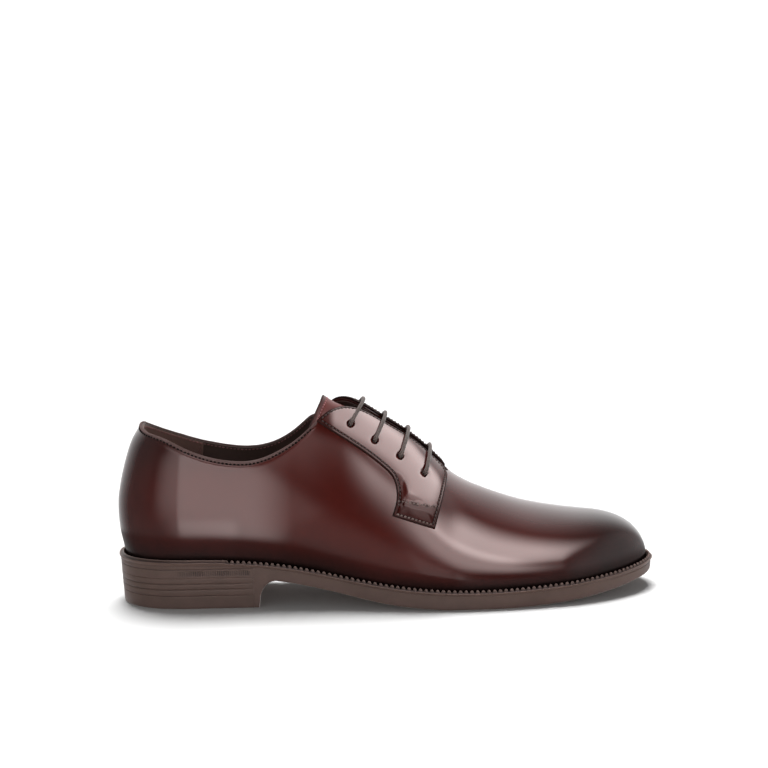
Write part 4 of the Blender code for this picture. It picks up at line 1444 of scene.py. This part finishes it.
def makeOutsole():
    breast = levels["breast"]
    seat = breast + levels["gap"]
    hollow = np.linspace(levels["breastFoot"], levels["waist"][0][0], 14)
    ribStations = np.arange(outsole["ribStart"], breast - 0.6, outsole["ribPitch"] / 4)
    front = breast + levels["gap"] * np.array((0.0, 1.0, 1.1, 4.0))
    x = stationsAlong(50, 2.0, 60, (*ribStations, *front, *hollow, levels["treadStart"], levels["treadEnd"]))
    under, top = soleUnder(x)[:, None], soleTop(x)[:, None]
    turn = np.linspace(0, np.pi / 2, 6)[:-1]
    radius = np.minimum(outsole["edgeRound"], (top - under) * 0.3)
    radius[x <= seat] = heel["jointRound"]
    sideHeights = mix(under + radius, top, np.linspace(0, 1, outsole["sideRows"]))
    heights = np.concatenate((under + radius * (1 - np.cos(turn)), sideHeights), axis=1)
    offsets = soleEdge(x[:, None], heights)
    offsets[:, : len(turn)] -= radius * (1 - np.sin(turn))
    groove = outsole["toeGroove"] * ramp(x, *outsole["toeGrooveRun"])
    offsets[:, -4:] -= groove[:, None] * np.array(outsole["toeGrooveRows"])
    # round the heel seat: one layer line, and fine upright ribs on the layer below it, with painted shade in
    # both
    atHeel = (x <= seat)[:, None]
    line = atHeel * ridge(heights, outsole["layerLine"], outsole["layerWidth"])
    fade = outsole["ribFade"]
    layer = ramp(heights, outsole["ribFoot"], fade) * ramp(heights, outsole["ribTop"], -fade)
    ribs = 0.5 - 0.5 * np.cos(2 * np.pi * (x - outsole["ribStart"]) / outsole["ribPitch"])
    # their depth varies slowly along the heel
    ribs *= 0.75 + 0.25 * np.sin(x * 0.45)
    ribs *= ramp(x, outsole["ribStart"], outsole["ribStartFade"])
    ribs *= ramp(x, outsole["ribEnd"], -outsole["ribEndFade"])
    ribbed = atHeel * layer * ribs[:, None]
    offsets -= outsole["layerDepth"] * line + outsole["ribDepth"] * ribbed
    # painted shade in the layer line and between the ribs
    dark = np.clip(heel["lineShade"] * line + outsole["ribShade"] * ribbed, 0.0, 1.0)
    piece = loftSections("outsole", x, offsets, heights, outsole["across"], angle=40.0, groove=dark)
    finishPiece(piece, soleRubber, ("outsole",))


makeOutsole()


def heelRings(name, heights, inset):
    # rings round the heel, closed across the breast
    front = levels["breast"] + levels["gap"] - heel["frontGap"]
    quarter = stationsAlong(60, 1.6, 4)
    xs = np.concatenate((quarter[quarter < levels["breast"] - 0.8], (front,)))
    rings, dark = [], []
    fade = ramp(xs, levels["breast"], -heel["plainFront"])
    for z, depth in zip(heights, inset):
        pulled = depth * np.where(z < heel["footRound"], 1.0, fade)
        outer, inner = (outline(xs, side, soleEdge(xs, z) - pulled) for side in bothSides)
        across = mix(outer[-1], inner[-1], np.linspace(0, 1, 16)[1:-1, None])
        ring = np.concatenate((outer, across, inner[::-1]))
        ring[:, 0] = np.minimum(ring[:, 0], front)
        rings.append(np.column_stack((ring, np.full(len(ring), z))))
        # painted shade in the grooves between the layers
        line = heel["lineShade"] * sum(ridge(z, place, heel["lineWidth"]) for place in heel["lines"])
        dark.append(line * np.concatenate((fade, np.zeros(len(across)), fade[::-1])))
    piece = loft(name, np.array(rings), 40.0, fillEnds=True, groove=np.array(dark))
    finishPiece(piece, soleRubber, (name,))


def makeHeel():
    foot = levels["topPieceHeight"] + levels["gap"] - heel["joint"]
    top = levels["stackTop"] + 2 * heel["joint"]
    z = np.arange(foot, top + heel["ringStep"] / 2, heel["ringStep"])
    z[-1] = top
    bounds = np.array((foot, *heel["lines"], top))
    k = np.clip(np.searchsorted(bounds, z, side="right") - 1, 0, len(bounds) - 2)
    share = (z - bounds[k]) / (bounds[k + 1] - bounds[k])
    inset = -heel["layerBulge"] * np.sin(np.pi * share)
    for line in heel["lines"]:
        inset += heel["lineDepth"] * ridge(z, line, heel["lineWidth"])
    inset += roundDrop(z - foot, heel["jointRound"]) + roundDrop(top - z, heel["jointRound"])
    heelRings("heel_stack", z, inset)

    turn = np.linspace(0, np.pi / 2, 7)
    low = heel["footRound"] * (1 - np.cos(turn))
    top = levels["topPieceHeight"] + heel["joint"]
    high = top - heel["jointRound"] * (1 - np.cos(turn[::-1]))
    z = np.concatenate((low, np.linspace(low[-1], high[0], 8)[1:-1], high))
    inset = roundDrop(z, heel["footRound"]) + roundDrop(top - z, heel["jointRound"])
    heelRings("heel_top_piece", z, inset)


makeHeel()
print("sole pieces made")

# laces: four straight bars, each going down through its two eyelets
lace = {
    "diameter": 2.15,
    "step": 0.30,
    "around": 20,
    "height": 3.1,  # of the bar's middle line over the last
    "endHeights": (-1.5, -0.4, 0.7, 1.75),  # from its hidden ends up through the eyelets
    "overShares": (-0.92, -0.82, -0.66, -0.45, -0.22, 0.0, 0.22, 0.45, 0.66, 0.82, 0.92),  # across the throat
    "strands": 5,
    "braidPitch": 5.4,
    "braidDepth": 0.11,
    "fullEnd": 0.16,  # it bulges where it leaves the eyelets
    "fullEndPlace": (4.2, 1.3),
    "thinEnd": 0.72,
    "thinRun": 1.2,
}


def laceRoute(eye):
    ends = []
    for side in bothSides:
        girth = girthAtSpan(eye["x"], eye["span"], side)
        ends.append([raisedPoint(eye["x"], girth, height) for height in lace["endHeights"]])
    over = []
    for share in lace["overShares"]:
        side = outerSide if share < 0 else innerSide
        x = eye["x"] + eye["forward"] * (1 - share**2)
        over.append(raisedPoint(x, girthAtSpan(x, eye["span"] * abs(share), side), lace["height"]))
    route = np.array(ends[0] + over + ends[1][::-1])
    run = lengthAlong(route)
    fine = np.linspace(0, run[-1], round(run[-1] / lace["step"]))
    return np.column_stack([smoothCurve(run, column)(fine) for column in route.T])


def makeLace(number, eye):
    route = laceRoute(eye)
    along = np.gradient(route, axis=0)
    along /= np.linalg.norm(along, axis=1, keepdims=True)
    # a frame that doesn't twist is carried along the route
    normals = [np.cross(along[0], (0.0, 0.0, 1.0))]
    for direction in along[1:]:
        normals.append(normals[-1] - direction * normals[-1].dot(direction))
        normals[-1] /= np.linalg.norm(normals[-1])
    normals[0] /= np.linalg.norm(normals[0])
    normals = np.array(normals)
    sides = np.cross(along, normals)
    run = lengthAlong(route)[:, None]
    angle = np.linspace(0, 2 * np.pi, lace["around"] + 1)[None, :]
    twist = 2 * np.pi * run / lace["braidPitch"]
    left = np.cos(lace["strands"] * angle + lace["strands"] * twist)
    right = np.cos(lace["strands"] * angle - lace["strands"] * twist)
    strand = np.maximum(left, right)
    radius = lace["diameter"] / 2 - lace["braidDepth"] * (1 - strand)
    fromEnd = np.minimum(run, run[-1] - run)
    thin = np.minimum(1.0, lace["thinEnd"] + fromEnd / lace["thinRun"])
    radius = radius * (thin + lace["fullEnd"] * ridge(fromEnd, *lace["fullEndPlace"]))
    points = route[:, None] + radius[..., None] * (
        np.cos(angle)[..., None] * normals[:, None] + np.sin(angle)[..., None] * sides[:, None]
    )
    sheet, i, j = gridSheet(f"lace_{number}", *points.shape[:2])
    placePoints(sheet, points[i, j])
    # the strand mask colours the hollows between strands dark: partly painted shade
    setValues(sheet, "strand", ease((strand[i, j] - 0.1) / 0.9))
    weldSeams(sheet, fillEnds=True)
    shade(sheet, 60.0)
    finishPiece(sheet, waxedLace, (f"lace_bar_{number}",))


for number, eye in enumerate(eyelets, 1):
    makeLace(number, eye)

# stitches: one is modelled, then laid along each row
stitch = {
    "pitch": 2.15,
    "length": 1.6,
    "thread": 0.64,
    "dip": 0.34,  # of its ends
    "reach": 0.4,  # the row's direction is taken this far to each side
    "lift": 0.14,
    "tilt": 6.0,
    "tiltSpread": 2.0,
    "sizeSpread": 0.03,
    "seed": 7,
    "collarBold": 1.65,
    "facingBold": 1.45,
    "collarEnd": 111.5,
}
stitchRandom = np.random.default_rng(stitch["seed"])


def modelStitch():
    # a capsule of thread whose ends dip into the leather; x lies along the row and z out of it
    bpy.ops.object.select_all(action="DESELECT")
    lying = (0.0, math.pi / 2, 0.0)
    bpy.ops.mesh.primitive_uv_sphere_add(segments=8, ring_count=6, radius=1.0, rotation=lying)
    one = bpy.context.object
    bpy.ops.object.transform_apply(location=False, rotation=True, scale=False)
    points = np.array([point.co for point in one.data.vertices])
    faces = [tuple(face.vertices) for face in one.data.polygons]
    bpy.data.objects.remove(one, do_unlink=True)
    points[:, 0] = np.sign(points[:, 0]) * np.abs(points[:, 0]) ** 0.75
    dip = points[:, 0] ** 4
    points *= (stitch["length"] / 2, stitch["thread"] / 2, stitch["thread"] / 2)
    points[:, 2] -= stitch["dip"] * dip
    return points, faces


oneStitch, stitchFaces = modelStitch()


def rowOnLast(x, girth, height, outwards=1):
    x, girth = np.asarray(x, float), np.asarray(girth, float)
    points = raisedPoint(x, girth, np.broadcast_to(height, x.shape))
    return points, outwards * lastNormal(x, girth)


def sewRows(name, rows, thread, bold=1.0):
    # rows are points with their outward directions; stitches are laid evenly along each
    points, faces = [], []
    for row, out in rows:
        run = lengthAlong(row)
        count = max(2, round(run[-1] / stitch["pitch"]))
        places = (np.arange(count) + 0.5) * run[-1] / count
        middle, lift = pointsAt(places, run, row), pointsAt(places, run, out)
        lift /= np.linalg.norm(lift, axis=1, keepdims=True)
        straight = pointsAt(places + stitch["reach"], run, row) - pointsAt(places - stitch["reach"], run, row)
        straight -= lift * (straight * lift).sum(1, keepdims=True)
        straight /= np.linalg.norm(straight, axis=1, keepdims=True)
        level = np.cross(lift, straight)
        tilt = np.radians(stitchRandom.normal(stitch["tilt"], stitch["tiltSpread"], count))[:, None]
        along = straight * np.cos(tilt) + level * np.sin(tilt)
        beside = level * np.cos(tilt) - straight * np.sin(tilt)
        size = stitchRandom.normal(1.0, stitch["sizeSpread"], count)[:, None]
        for k in range(count):
            base = len(points) * len(oneStitch)
            local = oneStitch * size[k] * (1.0, bold, bold)
            points.append(middle[k] + local[:, :1] * along[k] + local[:, 1:2] * beside[k]
                          + (local[:, 2:] + stitch["lift"]) * lift[k])
            faces.extend([tuple(base + corner for corner in face) for face in stitchFaces])
    mesh = bpy.data.meshes.new(name)
    mesh.from_pydata(toFrame(np.concatenate(points)).tolist(), [], faces)
    piece = bpy.data.objects.new(name, mesh)
    bpy.context.scene.collection.objects.link(piece)
    weldSeams(piece)
    shade(piece, 80.0)
    return finishPiece(piece, thread)


def collarLines(inset):
    # along the collar, from each facing to the back of the heel
    xs = stationsAlong(40, 1.2, 10)
    xs = xs[xs < stitch["collarEnd"]]
    return [(xs, wallRows(xs, side, (0.0, inset), 2)[0][:, 1]) for side in bothSides]


def sewCollar():
    groove = -0.75 * upper["stitchGroove"]
    rows = [rowOnLast(*line, groove) for line in collarLines(upper["stitchInset"])]
    sewRows("stitches_collar", rows, darkThread, stitch["collarBold"])
    rows = []
    for x, girth in collarLines(upper["stitchInset"] + 0.2):
        depth = np.where(x < lining["gripFront"], lining["gripInner"], lining["inner"])
        rows.append(rowOnLast(x, girth, depth, -1))
    sewRows("stitches_collar_inside", rows, redThread)


def sewFacing(name, panel):
    # the tab rows take the paler thread, a painted highlight
    for label, group, thread in ((name, "rows", brownThread), (name + "_tab", "tabRows", highlightThread)):
        rows = [rowOnLast(x, girth, facingHeight(x, girth, panel)) for x, girth in panel[group]]
        sewRows(label, rows, thread, stitch["facingBold"])


def sewTongue():
    # round the free end only; the rest lies hidden under the facings
    stations, girths, edges = tongueTables
    rows = []
    for k in range(edges.shape[1]):
        inside = int(np.argmax(edges[:, k] >= tongue["stitchInset"]))
        if 0 < inside < tongue["sewnRows"]:
            rows.append((stations[inside, k], girths[inside, k]))
    x, girth = np.array(rows).T
    sewRows("stitches_tongue", [rowOnLast(x, girth, tongueTop(x) - 0.2)], pinkThread)


def sewGrip():
    rows, count = [], 60
    x = np.full(count, lining["gripFront"] - lining["gripSeam"])
    for side in bothSides:
        girths, _ = wallRows(x[:1], side, (lining["gripSeamTop"],), count)
        rows.append(rowOnLast(x, girths[0, :count], lining["gripInner"] + 0.02, -1))
    sewRows("stitches_heel_grip", rows, redThread)


sewCollar()
for side, panel in facingPanels.items():
    sewFacing("stitches_facing_" + sideNames[side], panel)
sewTongue()
sewGrip()
print("stitches sewn")

# camera at the photo's angle: found from the shoe's outline in the picture
view = {
    "target": (150.0, 0.0, 45.0),
    "distance": 1500.0,
    "yaw": 0.8,
    "elevation": 12.7,
    "roll": 1.35,
    "targetPixel": (385.3, 512.1),
    "scale": 1.7812,  # pixels for a millimetre at the target
    "frame": 768.0,
    "sensor": 36.0,
}


def makeCamera():
    yaw, tilt, roll = (math.radians(view[key]) for key in ("yaw", "elevation", "roll"))
    toCamera = Vector((-math.cos(tilt) * math.sin(yaw), -math.cos(tilt) * math.cos(yaw), math.sin(tilt)))
    target = Vector(toFrame(view["target"]))
    forward = -toCamera
    level = forward.cross(Vector((0.0, 0.0, 1.0))).normalized()
    upright = level.cross(forward)
    right = level * math.cos(roll) - upright * math.sin(roll)
    up = level * math.sin(roll) + upright * math.cos(roll)
    focal = view["scale"] * view["distance"]
    centre = view["frame"] / 2
    forward = (forward + right * ((centre - view["targetPixel"][0]) / focal)
               + up * ((view["targetPixel"][1] - centre) / focal)).normalized()
    right = (right - forward * right.dot(forward)).normalized()
    up = right.cross(forward)
    lens = bpy.data.cameras.new("photoCamera")
    lens.sensor_width = view["sensor"]
    lens.lens = focal * view["sensor"] / view["frame"]
    lens.clip_start, lens.clip_end = 0.05, 50.0
    camera = bpy.data.objects.new("photoCamera", lens)
    turn = Matrix((right, up, -forward)).transposed().to_4x4()
    camera.matrix_world = Matrix.Translation(target + toCamera * view["distance"] * mm) @ turn
    bpy.context.scene.collection.objects.link(camera)
    bpy.context.scene.camera = camera


makeCamera()

# pale floor and soft studio light, in metres
studio = {
    "floorSize": 60.0,
    "floorColor": color(0.55, 0.55, 0.55),
    # soft daylight from above and behind gives the leather its colour, a light overhead the floor's shadow
    "skylight": {"from": (0.0, 0.58, 0.81), "strength": 4.2, "angle": 36.0},
    "floorLight": {"from": (-0.16, 0.34, 0.93), "strength": 6.7, "angle": 30.0},
    # softboxes seen only as reflections: place, aim, width, height, brightness,
    # and the soft share at left, right, low and high
    "softboxes": (
        ("vampBox", (0.375, -0.485, 0.60), (0.375, -0.485, 0.0), 0.35, 1.13, 10.0, (0.1, 0.6, 0.4, 0.36)),
        ("facingBox", (0.50, 0.05, 0.62), (0.50, 0.05, 0.0), 1.1, 1.70, 8.5, (0.05, 0.1, 0.1, 0.42)),
        ("frontBox", (0.19, -0.86, 0.525), (0.19, 0.0, 0.525), 0.82, 0.95, 5.3, (0.41, 0.31, 0.37, 0.35)),
        ("collarBox", (-0.12, 0.0, 0.70), (-0.12, 0.0, 0.0), 0.40, 0.50, 7.5, (0.35, 0.35, 0.35, 0.35)),
        ("quarterBox", (-0.40, -4.0, 0.0), (-0.40, 0.0, 0.0), 1.10, 1.60, 5.2, (0.06, 0.1, 0.03, 0.3)),
        ("heelBox", (-2.65, -4.0, -0.15), (-2.65, 0.0, -0.15), 3.5, 1.80, 2.7, (0.9, 0.02, 0.4, 0.35)),
    ),
    "onlyFacings": ("facingBox",),
    "notFacings": ("vampBox",),
    "softboxColor": (1.0, 0.85, 0.83),
    # light from near the horizon, which reaches the sides more than the floor
    "lowFill": 1.2,
    "highFill": 0.15,
    "fillRise": (0.2, 0.6),
    "horizon": (-0.02, 0.0),
    "frontGlow": 0.02,
    "backGlow": 1.3,
    "backRise": (-0.15, 0.85),
    # of the floor and past toe and heel: direction, where it starts and is full, strength
    "glows": (("Z", -0.02, -0.25, 0.4), ("X", 0.3, 0.9, 1.4), ("X", -0.4, -0.95, 0.3)),
}


def addLight(name, kind, place, aim):
    lamp = bpy.data.lights.new(name, kind)
    light = bpy.data.objects.new(name, lamp)
    light.location = place
    # the light's width lies along x
    back = (Vector(place) - Vector(aim)).normalized()
    width = Vector((1.0, 0.0, 0.0))
    light.rotation_euler = Matrix((width, back.cross(width), back)).transposed().to_euler()
    light.visible_camera = False
    bpy.context.scene.collection.objects.link(light)
    return light, lamp


def softenEdges(lamp, left, right, low, high):
    # a softbox is dimmer towards its edges
    lamp.use_nodes = True
    tree = lamp.node_tree
    place = addNode(tree, "ShaderNodeNewGeometry").outputs["Parametric"]
    across = addNode(tree, "ShaderNodeSeparateXYZ", {"Vector": place}).outputs
    glow = mapValue(tree, across["X"], 0.0, left)
    for axis, start, end in (("X", 1.0, 1 - right), ("Y", 0.0, low), ("Y", 1.0, 1 - high)):
        glow = mathNode(tree, "MULTIPLY", glow, mapValue(tree, across[axis], start, end))
    setInputs(tree, tree.nodes["Emission"], {"Strength": glow})


def lightOnly(light, pieces, state):
    receivers = bpy.data.collections.new(light.name + "Receivers")
    for piece in pieces:
        receivers.objects.link(piece)
    for entry in receivers.collection_objects:
        entry.light_linking.link_state = state
    light.light_linking.receiver_collection = receivers


def makeStudio():
    bpy.ops.object.select_all(action="DESELECT")
    bpy.ops.mesh.primitive_plane_add(size=studio["floorSize"])
    floor = bpy.context.object
    floor.name = "studioFloor"
    sockets = {"Base Color": studio["floorColor"], "Roughness": 0.9, "Specular IOR Level": 0.0}
    floor.data.materials.append(newMaterial("paleFloor", sockets)[0])
    floor.visible_glossy = floor.visible_shadow = False
    for name, state in (("skylight", "EXCLUDE"), ("floorLight", "INCLUDE")):
        light, lamp = addLight(name, "SUN", studio[name]["from"], (0.0, 0.0, 0.0))
        lamp.energy, lamp.angle = studio[name]["strength"], math.radians(studio[name]["angle"])
        light.visible_glossy = False
        lightOnly(light, (floor,), state)
    # the facings, stretched flat by the laces, have a softbox of their own
    panels = [panel["piece"] for panel in facingPanels.values()]
    for name, place, aim, width, height, brightness, soft in studio["softboxes"]:
        light, lamp = addLight(name, "AREA", place, aim)
        lamp.shape, lamp.size, lamp.size_y = "RECTANGLE", width, height
        lamp.energy = brightness * math.pi * width * height
        lamp.color = studio["softboxColor"]
        light.visible_diffuse = False
        softenEdges(lamp, *soft)
        if name in studio["onlyFacings"]:
            lightOnly(light, panels, "INCLUDE")
        if name in studio["notFacings"]:
            lightOnly(light, panels, "EXCLUDE")


def makeRoom():
    world = bpy.data.worlds.new("studioRoom")
    world.use_nodes = True
    bpy.context.scene.world = world
    tree = world.node_tree
    tree.nodes.clear()
    path = addNode(tree, "ShaderNodeLightPath").outputs
    direction = addNode(tree, "ShaderNodeTexCoord").outputs["Generated"]
    axes = addNode(tree, "ShaderNodeSeparateXYZ", {"Vector": direction}).outputs
    # a dark room in front of the shoe, a white sheet behind it and the floor below
    room = mapValue(tree, axes["Y"], *studio["backRise"], studio["frontGlow"], studio["backGlow"])
    for axis, start, end, glow in studio["glows"]:
        room = mathNode(tree, "MAXIMUM", room, mapValue(tree, axes[axis], start, end, 0.0, glow))
    fill = mapValue(tree, axes["Z"], *studio["fillRise"], studio["lowFill"], studio["highFill"])
    fill = mathNode(tree, "MULTIPLY", fill, mapValue(tree, axes["Z"], *studio["horizon"]))
    seen = fill
    for ray, strength in (("Is Glossy Ray", room), ("Is Camera Ray", 1.0)):
        inputs = {0: path[ray], 2: seen, 3: strength}
        seen = addNode(tree, "ShaderNodeMix", inputs, data_type="FLOAT").outputs[0]
    sheet = addNode(tree, "ShaderNodeBackground", {"Color": color(1.0, 1.0, 1.0), "Strength": seen})
    addNode(tree, "ShaderNodeOutputWorld", {"Surface": sheet.outputs["Background"]})
    bpy.context.scene.view_settings.view_transform = "Standard"


makeStudio()
makeRoom()
print("camera and studio ready")
